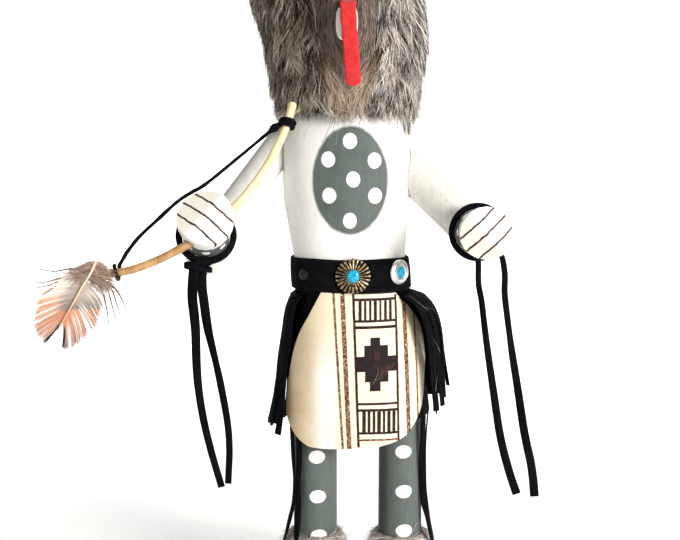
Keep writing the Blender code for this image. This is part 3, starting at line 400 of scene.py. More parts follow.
def brushed_paint(position):
    """Brush strokes that run up and down in thin paint, and the grain that shows through."""
    long = vector("MULTIPLY", position, (1.0, 1.0, 0.09))
    strokes = noise(long, 900.0, 4.0, 0.6)
    tone = strokes * 0.65 + noise(long, 260.0, 3.0, 0.5) * 0.35
    height = strokes * 0.7 + noise(position, 1500.0, 2.0) * 0.3
    return [tone, height, noise(position, 45.0, 4.0, 0.6)]


def felted_nap(position, scale):
    """The nap of suede or felt: a fine fuzz, brushed into lighter and darker patches."""
    fuzz = noise(position, scale, 4.0, 0.65)
    return [fuzz * 0.5 + noise(position, scale * 0.13, 3.0, 0.6) * 0.5, fuzz]


V, F = "Vector", "Float"
SPOT = shader_group(
    "painted_spot", {"Position": V, "Centre": V, "Radius X": F, "Radius Z": F, "Ragged": F}, ["Mask"],
    painted_spot,
)
LINE = shader_group("burned_line", {"Position": V, "Top": V, "Foot": V, "Width": F}, ["Mask"], burned_line)
BAR = shader_group(
    "burned_bar", {"Position": V, "Middle": V, "Half width": F, "Half height": F}, ["Mask"], burned_bar
)
BRUSH = shader_group("brushed_paint", {"Position": V}, ["Tone", "Height", "Soil"], brushed_paint)
NAP = shader_group("nap", {"Position": V, "Scale": F}, ["Tone", "Height"], felted_nap)


class Look:
    """A material in the making. place is a point's own position, in metres."""

    def __init__(self, name):
        self.material = bpy.data.materials.new(name)
        self.material.use_nodes = True
        self.place = node("TexCoord", tree=self.material.node_tree)["Object"]

    def along(self):
        """The shares across and along the piece, or a hair's tint and the share along it."""
        return split(node("UVMap", tree=self.material.node_tree, uv_map="along")[0])

    def done(self, colour, rough, height=None, depth=0.0001, strength=0.5, **others):
        """The finished material. height goes through a bump of that depth in metres."""
        values = {"Base Color": colour, "Roughness": rough}
        values.update({key.replace("_", " "): value for key, value in others.items()})
        if height is not None:
            values["Normal"] = node("Bump", {"Strength": strength, "Distance": depth, "Height": height})[0]
        fill(self.material.node_tree.nodes["Principled BSDF"], values)
        return self.material


def brushed(place, pale, deep, soiled, soil_share=0.35):
    """Paint whose colour goes from pale to deep along the strokes, soiled in patches."""
    paint = use(BRUSH, Position=place)
    colour = mix(step(paint["Tone"], 0.30, 0.72), deep, pale)
    return mix(step(paint["Soil"], 0.52, 0.78) * soil_share, colour, soiled), paint["Height"]


WHITE_PALE = rgb(249, 248, 245)
WHITE_DEEP = rgb(238, 236, 231)
WHITE_SOIL = rgb(205, 196, 180)
GREY_PALE = rgb(96, 105, 101)
GREY_DEEP = rgb(83, 92, 88)
GREY_SOIL = rgb(68, 76, 73)
# The upper arms' white paint, made darker and greyer as painted shade.
ARM_SHADE_PALE = rgb(226, 224, 218)
ARM_SHADE_DEEP = rgb(207, 204, 197)


def flat_paint(name, pale, deep, soiled, soil_share, rough, marks):
    """Flat paint. marks adds painted or burned colour: it takes place and colour."""
    look = Look(name)
    colour, height = brushed(look.place, pale, deep, soiled, soil_share)
    if marks:
        colour = marks(look.place, colour)
    return look.done(colour, rough, height, 0.00012, 0.45, Specular_IOR_Level=0.35)


def white_paint(name, marks, pale=WHITE_PALE, deep=WHITE_DEEP):
    return flat_paint(name, pale, deep, WHITE_SOIL, 0.35, 0.62, marks)


def grey_paint(name, marks=None):
    return flat_paint(name, GREY_PALE, GREY_DEEP, GREY_SOIL, 0.6, 0.6, marks)


def spots(place, colour, paint, centres, radius_x, radius_z, ragged=0.16):
    """Dabs of paint at centres, whose y is the middle of the round that they are on."""
    for centre in centres:
        spot = use(SPOT, Position=place, Centre=centre, Radius_X=radius_x, Radius_Z=radius_z, Ragged=ragged)
        colour = mix(spot[0], colour, paint)
    return colour


# Painted wood

OVAL_CENTRE = (-0.0042, 0.0, 0.2213)
OVAL_RADII = (0.0181, 0.0258)
CHEST_DOTS = [
    (-0.0043, 0.0, 0.2400), (-0.0147, 0.0, 0.2313), (0.0073, 0.0, 0.2308), (-0.0028, 0.0, 0.2219),
    (-0.0142, 0.0, 0.2142), (0.0077, 0.0, 0.2141), (-0.0043, 0.0, 0.2022),
]


def chest_marks(place, colour):
    """A grey oval with seven white dots."""
    deep, _ = brushed(place, GREY_PALE, GREY_DEEP, GREY_SOIL, 0.6)
    wide, high = OVAL_RADII
    oval = use(SPOT, Position=place, Centre=OVAL_CENTRE, Radius_X=wide, Radius_Z=high, Ragged=0.05)
    colour = mix(oval[0], colour, deep)
    return spots(place, colour, WHITE_PALE, CHEST_DOTS, 0.0033, 0.0038)


def leg_marks(first_x, step_x, first_z):
    """Three white dabs down the front, and painted shade that darkens the side away from the window light."""

    def marks(place, colour):
        middle = math.copysign(LEG_X, first_x)
        x = split(place)[0]
        # Painted shade: the leg's side away from the window light is darkened nearly to black.
        painted_shade_and_sheen = step(x, middle - 0.0052, middle - 0.0116) * 0.82
        colour = mix(painted_shade_and_sheen, colour, rgb(20, 22, 24))
        centres = [(first_x + k * step_x, LEG_Y, first_z - 0.0206 * k) for k in range(3)]
        return spots(place, colour, WHITE_PALE, centres, 0.0041, 0.0034)

    return marks


HANDS = {
    "right": {
        "middle": (-0.0672, -0.0700, 0.2079),
        "aim": (0.10801, -0.90106, 0.42003),
        "ridge": (-0.644, -0.765),
        "pitch": 0.0062,
        "shaded": -1.0,
    },
    "left": {
        "middle": (0.0568, -0.0570, 0.1990),
        "aim": (0.04002, -0.99739, 0.06002),
        "ridge": (-0.681, 0.732),
        "pitch": 0.0061,
        "shaded": 1.0,
    },
}
CUFF_FRONT = 0.0150
CUFF_BACK = 0.0243


def hand_axes(hand):
    """The forearm's forward, level and upward directions, and the knuckle ridge's."""
    z = Vector(hand["aim"]).normalized()
    x = Vector((0, 0, 1)).cross(z).normalized()
    y = z.cross(x)
    ridge = (x * hand["ridge"][0] + y * hand["ridge"][1]).normalized()
    return z, x, y, ridge


def hand_marks(hand):
    """Finger lines burned across the knuckles, painted shade on one knuckle facet, and a grey cuff with white
    dots.
    """
    z, x, y, ridge = hand_axes(hand)

    def marks(place, colour):
        off = vector("SUBTRACT", place, hand["middle"])

        def along(direction):
            return node("VectorMath", (off, tuple(direction)), operation="DOT_PRODUCT")["Value"]

        back = along(z) * -1.0
        wobble = noise(place, 330.0) - 0.5
        row = (wobble * 0.0011 + along(ridge)) / hand["pitch"]
        off_line = abs(row - calc("ROUND", row))
        line = step(off_line, 0.096, 0.058)
        line = line * calc("LESS_THAN", abs(row), 1.5)
        line = line * step(back, 0.0095, 0.0075)
        # Painted shade: the knuckle facet on the side away from the light is tinted a darker cream.
        far_side = along((z.cross(ridge) * hand["shaded"]).normalized())
        shaded_facet = step(wobble * 0.0008 + far_side, 0.0010, 0.0024)
        colour = mix(shaded_facet * 0.68, colour, rgb(226, 219, 198))
        colour = mix(line, colour, mix(step(noise(place, 900.0), 0.4, 0.6), rgb(40, 20, 18), rgb(96, 60, 44)))
        deep, _ = brushed(place, rgb(98, 104, 103), rgb(74, 79, 80), GREY_SOIL, 0.4)
        edge = wobble * 0.0012 + back
        cuff = step(edge, CUFF_FRONT, CUFF_FRONT + 0.0003) * step(back, 0.0252, 0.0249)
        colour = mix(cuff, colour, deep)
        turn = calc("ARCTAN2", along(y), along(x)) / (math.pi / 4)
        turn = turn - calc("ROUND", turn)
        around = turn * (WRIST_RADIUS * math.pi / 4)
        down = back - (CUFF_FRONT + CUFF_BACK) / 2
        far = calc("SQRT", around * around + down * down)
        dot = step(wobble * 0.0006 + far, 0.0019, 0.0017)
        return mix(dot, colour, WHITE_PALE)

    return marks


def mask_marks(place, colour):
    """Two plain round eyes."""
    eyes = [(-0.0145, 0.0, 0.3405), (0.0025, 0.0, 0.3405)]
    colour = spots(place, colour, WHITE_PALE, eyes, 0.0046, 0.0046, 0.05)
    return spots(place, colour, rgb(24, 22, 22), eyes, 0.0026, 0.0026, 0.05)


def jaw_marks(low, high):
    """A dark line painted along the mouth, on the jaw's edge from low to high."""

    def marks(place, colour):
        z = split(place)[2]
        wobble = noise(place, 300.0) - 0.5
        z = wobble * 0.0008 + z
        line = step(z, low - 0.0002, low + 0.0002) * step(z, high + 0.0002, high - 0.0002)
        return mix(line, colour, rgb(30, 27, 28))

    return marks


def rust_paint():
    """The moccasins' paint, over a pale sole."""
    look = Look("rust_paint")
    place = look.place
    colour, height = brushed(place, rgb(150, 92, 68), rgb(122, 70, 50), rgb(84, 50, 38), 0.5)
    colour = mix(step(split(place)[2], 0.0168, 0.0163), colour, rgb(232, 226, 214))
    return look.done(colour, 0.6, height, 0.00012, 0.45)


def bare_wood():
    """The base: end grain above, with rings and pores."""
    look = Look("bare_wood")
    place = look.place
    shifted = vector("ADD", place, (0.031, 0.017, 0.0))
    wide = vector("MULTIPLY", shifted, (1.0, 1.0, 0.25))
    growth = {"Vector": wide, "Scale": 70.0, "Distortion": 3.0, "Detail": 2.0}
    rings = node("TexWave", growth, wave_type="RINGS")
    pores = noise(vector("MULTIPLY", place, (1.0, 1.0, 0.1)), 1500.0, 3.0)
    tone = pores * 0.5 + rings[1] * 0.5
    colour = ramp(tone, [(0.1, rgb(150, 112, 74)), (0.45, rgb(190, 152, 108)), (0.9, rgb(214, 182, 140))])
    return look.done(colour, 0.55, tone, 0.00012, 0.5)


def paint_wooden_parts():
    """Better finishes for the wooden nodes, whose shapes stay as they are."""
    # The upper arms wear a darker copy of the white paint, as painted shade.
    upper = white_paint("arm_white_shaded", None, ARM_SHADE_PALE, ARM_SHADE_DEEP)
    grey = grey_paint("ear_grey")
    looks = {
        "torso": white_paint("torso_white", chest_marks),
        "leg_right": grey_paint("leg_right_grey", leg_marks(-0.0207, 0.0004, 0.0830)),
        "leg_left": grey_paint("leg_left_grey", leg_marks(0.0227, 0.0003, 0.0857)),
        "upper_arm_right": upper,
        "upper_arm_left": upper,
        "forearm_right": white_paint("hand_right_white", hand_marks(HANDS["right"])),
        "forearm_left": white_paint("hand_left_white", hand_marks(HANDS["left"])),
        "mask": grey_paint("mask_grey", mask_marks),
        "ear_right": grey,
        "ear_left": grey,
        "upper_jaw": white_paint("upper_jaw_white", jaw_marks(0.3015, 0.3036)),
        "lower_jaw": white_paint("lower_jaw_white", jaw_marks(0.2984, 0.3008)),
        "base": bare_wood(),
    }
    looks["moccasin_right"] = looks["moccasin_left"] = rust_paint()
    for name, look in looks.items():
        smooth_copy(name, look)


def smooth_copy(name, material):
    """The wooden part as it is, with its turned and carved faces shaded as round."""
    source = NODES[name]
    shape = bmesh.new()
    shape.from_mesh(source.data)
    shape.transform(source.matrix_world)
    bmesh.ops.remove_doubles(shape, verts=shape.verts, dist=1e-6)
    shape.verts.index_update()
    verts = [tuple(v.co) for v in shape.verts]
    faces = [[v.index for v in f.verts] for f in shape.faces]
    shape.free()
    piece(name + "_finish", (verts, faces, None), material, name, 24)


# Suede and hide


def black_suede():
    look = Look("black_suede")
    nap = use(NAP, Position=look.place, Scale=1300.0)
    tone = step(nap["Tone"], 0.35, 0.75)
    colour = mix(tone, rgb(5, 5, 7), rgb(21, 20, 25))
    return look.done(colour, 0.95, nap["Height"], 0.00018, 0.7, Specular_IOR_Level=0.08)


LEAN_LEVELS = [0.112, 0.150, 0.1815, 0.2085, 0.236]
LEAN_SHARES = [0.0, 0.36, 0.69, 0.95, 1.0]
SECTION_POWER = 2.3
APRON_LEVELS = [0.092, 0.130, 0.150, 0.1666]
APRON_WIDE = [0.0430, 0.0410, 0.0360, 0.02855]
APRON_DEEP = [0.0310, 0.0305, 0.0275, 0.02309]
APRON_LEFT = [
    (-0.0186, 0.1666), (-0.0242, 0.1560), (-0.0298, 0.1449), (-0.0333, 0.1314), (-0.0349, 0.1160),
    (-0.0350, 0.1058), (-0.0309, 0.0970), (-0.0250, 0.0922), (-0.0180, 0.0915),
]
APRON_RIGHT = [
    (0.0180, 0.1666), (0.0250, 0.1590), (0.0306, 0.1500), (0.0326, 0.1380), (0.0322, 0.1260),
    (0.0308, 0.1105), (0.0253, 0.1000), (0.0194, 0.0958), (0.0096, 0.0930),
]


def lean(z):
    return -0.0061 * np.interp(z, LEAN_LEVELS, LEAN_SHARES)


def apron_face(x, z):
    """The depth of the apron's outer face, and its outward direction."""
    a = np.interp(z, APRON_LEVELS, APRON_WIDE)
    b = np.interp(z, APRON_LEVELS, APRON_DEEP)
    power = np.interp(z, [0.150, 0.1666], [2.0, SECTION_POWER])
    off = x - lean(z)
    y = -b * (1 - np.minimum(0.985, np.abs(off) / a) ** power) ** (1 / power)
    out = unit(np.stack([off / a**2, y / b**2, np.zeros_like(x)], axis=-1))
    return y, out


def make_apron(material):
    """The hide, tucked under the belt and curled a little off the skirt toward its foot."""
    rows, columns, hidden = 64, 46, 6
    tucked = np.linspace(0.1765, 0.1676, hidden)
    left = np.concatenate([[(-0.0180, z) for z in tucked], smooth_line(APRON_LEFT, rows - hidden)])
    right = np.concatenate([[(0.0172, z) for z in tucked], smooth_line(APRON_RIGHT, rows - hidden)])
    across = np.linspace(0, 1, columns)[None, :, None]
    flat = left[:, None, :] * (1 - across) + right[:, None, :] * across
    x, z = flat[..., 0], flat[..., 1]
    y, out = apron_face(x, z)
    low = np.clip((0.160 - z) / 0.06, 0, 1)
    curl = 0.0004 * low * (1 + np.sin(x * 260 + 0.6) * np.cos(z * 90))
    face = np.stack([x, y, z], axis=-1) + out * curl[..., None]
    shape = slab(face, face - out * 0.00085)
    o = piece("leather_apron_sheet", shape, material, "leather_apron", 50)


BROWN_LINES = [
    ((-0.0124, 0.0, 0.1690), (-0.0076, 0.0, 0.0905), 0.0012),
    ((-0.0081, 0.0, 0.1690), (-0.0045, 0.0, 0.0905), 0.0023),
    ((0.0220, 0.0, 0.1655), (0.0246, 0.0, 0.0980), 0.0021),
    ((0.0272, 0.0, 0.1600), (0.0293, 0.0, 0.1050), 0.0009),
]
BLACK_LINES = [
    ((-0.0028, 0.0, 0.1690), (-0.0001, 0.0, 0.0930), 0.0013),
    ((0.0179, 0.0, 0.1660), (0.0194, 0.0, 0.0945), 0.0012),
]
CROSS_LINES = [
    (0.1672, 0.0013), (0.1640, 0.0013), (0.1539, 0.0012), (0.1510, 0.0014),
    (0.1143, 0.0012), (0.1112, 0.0013), (0.0999, 0.0012), (0.0965, 0.0010),
]
STEPPED_CROSS = [
    (0.0055, 0.0103, 0.1414, 0.1462), (0.0025, 0.0141, 0.1368, 0.1425), (-0.0016, 0.0187, 0.1300, 0.1373),
    (0.0029, 0.0143, 0.1250, 0.1306), (0.0052, 0.0105, 0.1205, 0.1256),
]
TOOTH_ROWS = [(0.0006, 0.00246, 7, 0.1589, 0.0045, 0.00066), (0.0025, 0.00242, 7, 0.1055, 0.0054, 0.00076)]


def cream_leather():
    """Split hide with a burned pattern: long lines, rows of bars and a stepped cross, with painted shade to
    the left and a painted sheen left of the middle.
    """
    look = Look("cream_leather")
    place = look.place
    p = split(place)
    fine = noise(place, 1700.0, 4.0, 0.7)
    pores = noise(place, 520.0, 3.0, 0.6)
    broad = noise(place, 38.0, 4.0, 0.6)
    # Painted shade: the hide darkens towards its left edge, the side away from the window light; broad random
    # tone is added to it.
    painted_shade_left = step(p[0], -0.013, -0.036)
    shade = painted_shade_left * 0.34 + broad * 0.55
    speck = fine * 0.46 + (shade - 0.14)
    colour = ramp(speck, [(0.24, rgb(250, 238, 214)), (0.46, rgb(240, 222, 190)), (0.78, rgb(200, 174, 134))])
    # Painted sheen: a near-white patch left of the middle, low on the apron.
    painted_shade_and_sheen = abs(p[0] + 0.0160)
    painted_shade_and_sheen = step(painted_shade_and_sheen, 0.0085, 0.0015) * step(p[2], 0.158, 0.120)
    colour = mix(painted_shade_and_sheen * 0.85, colour, rgb(255, 253, 248))
    burn_fine = step(noise(place, 1150.0, 3.0, 0.7), 0.36, 0.54)
    brown = mix(burn_fine, rgb(198, 152, 114), rgb(84, 44, 30))
    black = mix(step(pores, 0.40, 0.66), rgb(26, 19, 20), rgb(66, 44, 40))
    for top, foot, width in BROWN_LINES:
        mark = use(LINE, Position=place, Top=top, Foot=foot, Width=width)[0]
        mark = mark * step(pores, 0.26, 0.44)
        colour = mix(mark, colour, brown)
    for top, foot, width in BLACK_LINES:
        mark = use(LINE, Position=place, Top=top, Foot=foot, Width=width)[0]
        colour = mix(mark, colour, black)
    for z, width in CROSS_LINES:
        left = np.interp(z, [0.0930, 0.1690], [-0.0001, -0.0028])
        right = np.interp(z, [0.0945, 0.1660], [0.0194, 0.0179])
        middle, half = ((left + right) / 2, 0.0, z), (right - left) / 2
        mark = use(BAR, Position=place, Middle=middle, Half_width=half, Half_height=width / 2)[0]
        colour = mix(mark, colour, brown if z < 0.098 else black)
    for x, pitch, count, z, half_height, half_width in TOOTH_ROWS:
        for k in range(count):
            uneven = 1 + 0.22 * math.sin(2.4 * k + 1)
            middle = (x + pitch * k, 0.0, z)
            half = half_width * uneven
            mark = use(BAR, Position=place, Middle=middle, Half_width=half, Half_height=half_height)
            colour = mix(mark[0], colour, black)
    worn = mix(step(noise(place, 150.0, 4.0, 0.7), 0.52, 0.72), rgb(34, 24, 25), rgb(84, 54, 44))
    for x0, x1, z0, z1 in STEPPED_CROSS:
        middle = ((x0 + x1) / 2, 0.0, (z0 + z1) / 2)
        mark = use(BAR, Position=place, Middle=middle, Half_width=(x1 - x0) / 2, Half_height=(z1 - z0) / 2)
        colour = mix(mark[0], colour, worn)
    height = fine * 0.5 + pores * 0.5
    return look.done(colour, 0.85, height, 0.00014, 0.5, Specular_IOR_Level=0.25)


def section(turn, a, b):
    """Points of the body's rounded section, turned from +X."""
    c, s = np.cos(turn), np.sin(turn)
    n = 2 / SECTION_POWER
    return np.sign(c) * np.abs(c) ** n * a, np.sign(s) * np.abs(s) ** n * b


SKIRT_LEVELS = [0.104, 0.112, 0.1385, 0.1544, 0.165, 0.1785]
SKIRT_HALF = [0.0350, 0.03425, 0.02997, 0.02820, 0.0263, 0.0263]


def waist_ring(x, y, z):
    """A ring round the body, which leans with it."""
    return np.stack([x + lean(z), y, np.full_like(x, z)], axis=1)


def make_skirt(material):
    """The suede wrap round the hips, with a slightly waved hem."""
    turn = circle(96)
    outer, inner = [], []
    for z in np.concatenate([np.linspace(0.104, 0.150, 12), np.linspace(0.153, 0.1785, 8)]):
        half = np.interp(z, SKIRT_LEVELS, SKIRT_HALF)
        loose = np.clip((0.140 - z) / 0.036, 0, 1)
        wave = 0.0005 * loose * (1 + np.sin(9 * turn + 1.0))
        for rings, thick in ((outer, 0.0010), (inner, 0.0)):
            rings.append(waist_ring(*section(turn, half + thick + wave, half * 0.79 + thick + wave), z))
    o = piece("skirt_wrap", skin(outer + inner[::-1], hoop=True), material, "suede_skirt", 50)


BELT_LEVELS = [0.1672, 0.1768, 0.1833]
BELT_WIDE = [0.02885, 0.02885, 0.0283]
BELT_DEEP = [0.02339, 0.02339, 0.02242]
BELT_THICK = 0.0013
BELT_PROFILE = [(0.0, 0), (0.06, 1), (0.35, 1.02), (0.65, 1.0), (0.94, 1), (1.0, 0)]


def belt_half(z, out):
    """The belt's half width and half depth at a level, out from its inner face."""
    return np.interp(z, BELT_LEVELS, BELT_WIDE) + out, np.interp(z, BELT_LEVELS, BELT_DEEP) + out


def make_belt(material):
    """A strap with softened edges that wander slightly."""
    turn = circle(120)
    wave = 0.0002 * np.sin(5 * turn)
    outer = [(BELT_LEVELS[0] + 0.0161 * share, BELT_THICK * out + 0.0001) for share, out in BELT_PROFILE]
    rings = []
    for z, out in outer + [(z, 0.0) for z in BELT_LEVELS[::-1]]:
        x, y = section(turn, *belt_half(z, out))
        rings.append(np.stack([x + lean(z), y, z + wave], axis=1))
    o = piece("belt_strap", skin(rings, hoop=True), material, "belt", 40)


FRINGE_TOP = 0.1659
FRINGE_HALF = 0.0276
FRINGE_DEEP = 0.02208
FRINGE_GATHER = 0.1656
HIP_FRINGES = {
    "right": {
        "side": -1,
        "drape": [(0.0004, 0.0), (0.0033, 0.042), (0.0066, 0.154), (0.0085, 0.294), (0.0117, 0.503),
                  (0.0141, 0.713), (0.0161, 0.881), (0.0177, 1.0)],
        "turns": [-66, -53, -41, -30, -20, -10.5, -1.5, 7.5, 16.5, 25],
        "tips": [0.100, 0.098, 0.101, 0.097, 0.099, 0.0970, 0.0965, 0.0990, 0.0995, 0.0990],
        "width": 0.0046,
        "pitch": 4.6,
    },
    "left": {
        "side": 1,
        "drape": [(0.0004, 0.0), (0.0052, 0.018), (0.0110, 0.093), (0.0149, 0.232), (0.0167, 0.411),
                  (0.0170, 0.643), (0.0174, 0.875), (0.0177, 1.0)],
        "turns": [-66, -53, -41, -30, -19, -8.5, 2, 12, 24, 33],
        "tips": [0.104, 0.108, 0.105, 0.110, 0.112, 0.1160, 0.1170, 0.1155, 0.1130, 0.1095],
        "width": 0.0042,
        "pitch": 5.0,
    },
}


def fringe_strip(side, line, turn, tip, phase, sway, inset):
    """The route of one strip, from under the belt to its tip."""
    rows = []
    for off, down in line:
        z = FRINGE_TOP - down * (FRINGE_TOP - tip)
        angle = math.radians(turn) + 0.045 * sway * down * math.sin(3.1 * down + phase)
        off = off + inset * min(1.0, down * 4) + 0.0008 * down * math.sin(4.0 * down + phase)
        x, y = section(np.array(angle), FRINGE_HALF + off, FRINGE_DEEP + off)
        rows.append((lean(z) + side * float(x), -float(y), z))
    return np.array(rows)


def fringe_band(side, first, last):
    """The uncut top of a hip fringe, which the belt holds."""
    turn = np.radians(np.linspace(first, last, 40))
    x, y = section(turn, FRINGE_HALF + 0.0005, FRINGE_DEEP + 0.0005)
    top = np.stack([lean(FRINGE_GATHER) + side * x, -y, np.full_like(x, FRINGE_TOP)], axis=1)
    wider = [np.array([1 + 0.05 * i, 1 + 0.05 * i, 1]) for i in range(3)]
    front = np.stack([top * g + np.array([0, 0, -0.0012 * i]) for i, g in enumerate(wider)])
    inward = unit((front - np.array([lean(FRINGE_GATHER), 0, 0])) * np.array([1, 1, 0]))
    return slab(front, front - inward * 0.0008)


def make_hip_fringe(word, material, chance):
    """Cut strips that fall over one hip, each with its own twist, in two layers at the front."""
    fringe = HIP_FRINGES[word]
    side, at, tips = fringe["side"], fringe["turns"], fringe["tips"]
    line = smooth_line(fringe["drape"], 16)
    turns = np.linspace(at[0] - 4, at[-1] + 4, int((at[-1] - at[0] + 8) / fringe["pitch"]))
    shapes, area = [], 0.0
    for k, turn in enumerate(turns):
        tip = np.interp(turn, at, tips) + chance.uniform(-0.0035, 0.0025)
        phase, sway = chance.uniform(0, 6.28), chance.uniform(0.4, 1.0)
        route = fringe_strip(side, line, turn, tip, phase, sway, -0.0006 * (k % 2))
        around = (side * math.sin(math.radians(turn)), math.cos(math.radians(turn)), 0.0)
        twist = 0.5 * sway * np.linspace(0, 1, len(route)) ** 1.5 * math.sin(phase * 3)
        broad = fringe["width"] * chance.uniform(0.85, 1.12)
        shapes.append(thong(route, broad, SUEDE_THICK, around, twist))
        area += broad * lengths(route)[-1]
    shapes.append(fringe_band(side, turns[0] - 3, turns[-1] + 3))
    o = piece("hip_fringe_" + word, joined(shapes), material, "fringe_" + word)
    long = FRINGE_TOP - min(tips)
    area / long * 1.25


# Each strip's width, then its stations: height, turn from the front, room off the leg, and twist.
LEG_STRIPS = {
    "right": (-1, [
        (0.0034, [(HEM, 29, 0.0036, 0), (0.081, 33, 0.0023, 0), (0.070, 36, 0.0026, 10),
                  (0.059, 34, 0.0028, 0), (0.047, 33, 0.0044, -10), (0.038, 34, 0.0052, 20),
                  (0.030, 34, 0.0054, 30)]),
        (0.0036, [(HEM, 58, 0.0020, 0), (0.081, 58, 0.0010, 0), (0.070, 54, 0.0010, 25),
                  (0.059, 54, 0.0012, 10), (0.047, 62, 0.0034, 0), (0.038, 68, 0.0050, 10),
                  (0.030, 72, 0.0062, 0)]),
    ]),
    "left": (1, [
        (0.0040, [(HEM, 48, 0.0026, 0), (0.092, 51, 0.0018, 0), (0.078, 54, 0.0014, 40),
                  (0.066, 56, 0.0014, 70), (0.058, 58, 0.0022, 50), (0.052, 61, 0.0034, 10),
                  (0.038, 66, 0.0058, 0), (0.030, 68, 0.0072, 0)]),
        (0.0034, [(HEM, 86, 0.0020, 0), (0.089, 90, 0.0010, 10), (0.066, 92, 0.0010, 0),
                  (0.047, 92, 0.0034, 0), (0.038, 90, 0.0052, 0), (0.030, 88, 0.0062, 10)]),
    ]),
}


def make_leg_fringe(word, material):
    """Strips hanging from the hem outside a leg."""
    side, strips = LEG_STRIPS[word]
    shapes, area = [], 0.0
    for width, stations in strips:
        levels, turns, rooms, twists = np.array(stations[::-1]).T
        z = np.linspace(HEM, levels[0], 26)
        turn = np.radians(np.interp(z, levels, turns))
        twist = np.radians(np.interp(z, levels, twists))
        reach = 0.0114 + np.interp(z, levels, rooms) + 0.0005
        x = side * LEG_X + side * reach * np.sin(turn)
        y = LEG_Y - reach * np.cos(turn)
        route = smooth_line(np.stack([x, y, z], axis=1)[::2], 26)
        around = np.stack([side * np.cos(turn), np.sin(turn), np.zeros_like(turn)], axis=1)
        shapes.append(thong(route, width, SUEDE_THICK, around, twist))
        area += width * lengths(route)[-1]
    o = piece("leg_strips_" + word, joined(shapes), material, "leg_fringe_" + word)


# Laces round the wrists, and their free ends

LACE_ENDS = {
    "right_outer": (
        [(-0.07548, -0.0530, 0.1858), (-0.07647, -0.05406, 0.18376), (-0.07734, -0.05505, 0.1765),
         (-0.07754, -0.05632, 0.1693), (-0.07695, -0.05637, 0.16194), (-0.07655, -0.05642, 0.15457),
         (-0.07635, -0.05648, 0.14719), (-0.07611, -0.05653, 0.13981), (-0.07564, -0.05658, 0.13244),
         (-0.07478, -0.05664, 0.1251), (-0.07362, -0.0567, 0.11781), (-0.07218, -0.05676, 0.11057),
         (-0.07046, -0.05682, 0.10339), (-0.06835, -0.05688, 0.09631), (-0.0660, -0.05694, 0.08931),
         (-0.06368, -0.0570, 0.0823)],
        0.1058, [0, 5, 10, 20, 5, -10, -25, 0, 15, 10], 0.0033),
    "right_inner": (
        [(-0.06945, -0.05288, 0.18449), (-0.06936, -0.05393, 0.18222), (-0.06927, -0.0548, 0.17508),
         (-0.06836, -0.05501, 0.16795), (-0.06751, -0.05468, 0.16082), (-0.06637, -0.05436, 0.15372),
         (-0.06501, -0.05402, 0.14666), (-0.06364, -0.05368, 0.1396), (-0.06235, -0.05339, 0.13253),
         (-0.06122, -0.05318, 0.12542), (-0.06015, -0.05304, 0.11831), (-0.05928, -0.05296, 0.11116),
         (-0.05884, -0.05288, 0.10398), (-0.05911, -0.0528, 0.09679), (-0.05988, -0.05274, 0.08964),
         (-0.06065, -0.05268, 0.08249)],
        0.1032, [10, -5, 0, 25, 35, 10, 0, -10, 10, 0], 0.0031),
    "left_inner": (
        [(0.05611, -0.03239, 0.1835), (0.05617, -0.03254, 0.1810), (0.05635, -0.03268, 0.17301),
         (0.05787, -0.0328, 0.16514), (0.05892, -0.03295, 0.1572), (0.05995, -0.0331, 0.14926),
         (0.06108, -0.03325, 0.14132), (0.0623, -0.03339, 0.1334), (0.06355, -0.03353, 0.12549),
         (0.0648, -0.03367, 0.11758), (0.06603, -0.03382, 0.10966), (0.06737, -0.03396, 0.10176),
         (0.06907, -0.03408, 0.09394), (0.07117, -0.03417, 0.0862), (0.07353, -0.03421, 0.07855),
         (0.07621, -0.03419, 0.0710)],
        0.1147, [0, 10, 30, 10, -15, -5, 10, 25, 5, 0], 0.0033),
    "left_outer": (
        [(0.0656, -0.03177, 0.18749), (0.06735, -0.03181, 0.18571), (0.06879, -0.03189, 0.17746),
         (0.06879, -0.03217, 0.16906), (0.06979, -0.03232, 0.16071), (0.07097, -0.03246, 0.15238),
         (0.07222, -0.0326, 0.14406), (0.07358, -0.03274, 0.13576), (0.07503, -0.03289, 0.12747),
         (0.07643, -0.03304, 0.11918), (0.07778, -0.0332, 0.11088), (0.0792, -0.03334, 0.10259),
         (0.08093, -0.03346, 0.09436), (0.08287, -0.03355, 0.08617), (0.08417, -0.03359, 0.07786),
         (0.0850, -0.03357, 0.06949)],
        0.1202, [5, 0, -15, -30, -5, 10, 20, 5, -10, 5], 0.0034),
}


LACE_DRAW = {"right_outer": 0.0024, "right_inner": -0.0022}
LACE_BREADTH = {"right": (1.45, 1.40, 1.10, 1.0), "left": (0.84, 0.94, 1.18, 1.26)}


def make_lace_ends(material):
    """The four free ends, flat laces that turn a little as they hang."""
    along = np.linspace(0, 1, 60)
    for label, (route, length, turns, width) in LACE_ENDS.items():
        points = smooth_line(route, 60)
        drawn = np.interp(along, [0.0, 0.3, 0.8, 1.0], [0.8, 1.0, 0.6, 0.1])
        points[:, 0] += LACE_DRAW.get(label, 0.0) * drawn
        twist = np.radians(np.interp(9 * along, range(10), turns))
        broad = width * np.interp(along, [0.0, 0.25, 0.6, 1.0], LACE_BREADTH[label.split("_")[0]])
        shape = thong(points, broad, 0.0013, (1.0, 0.0, 0.0), twist)
        o = piece("lace_" + label, shape, material, "lace_end_" + label)


KNOT_WRAPS = {"right": ((0.0010, 0.10), (-0.0010, -0.16)), "left": ()}


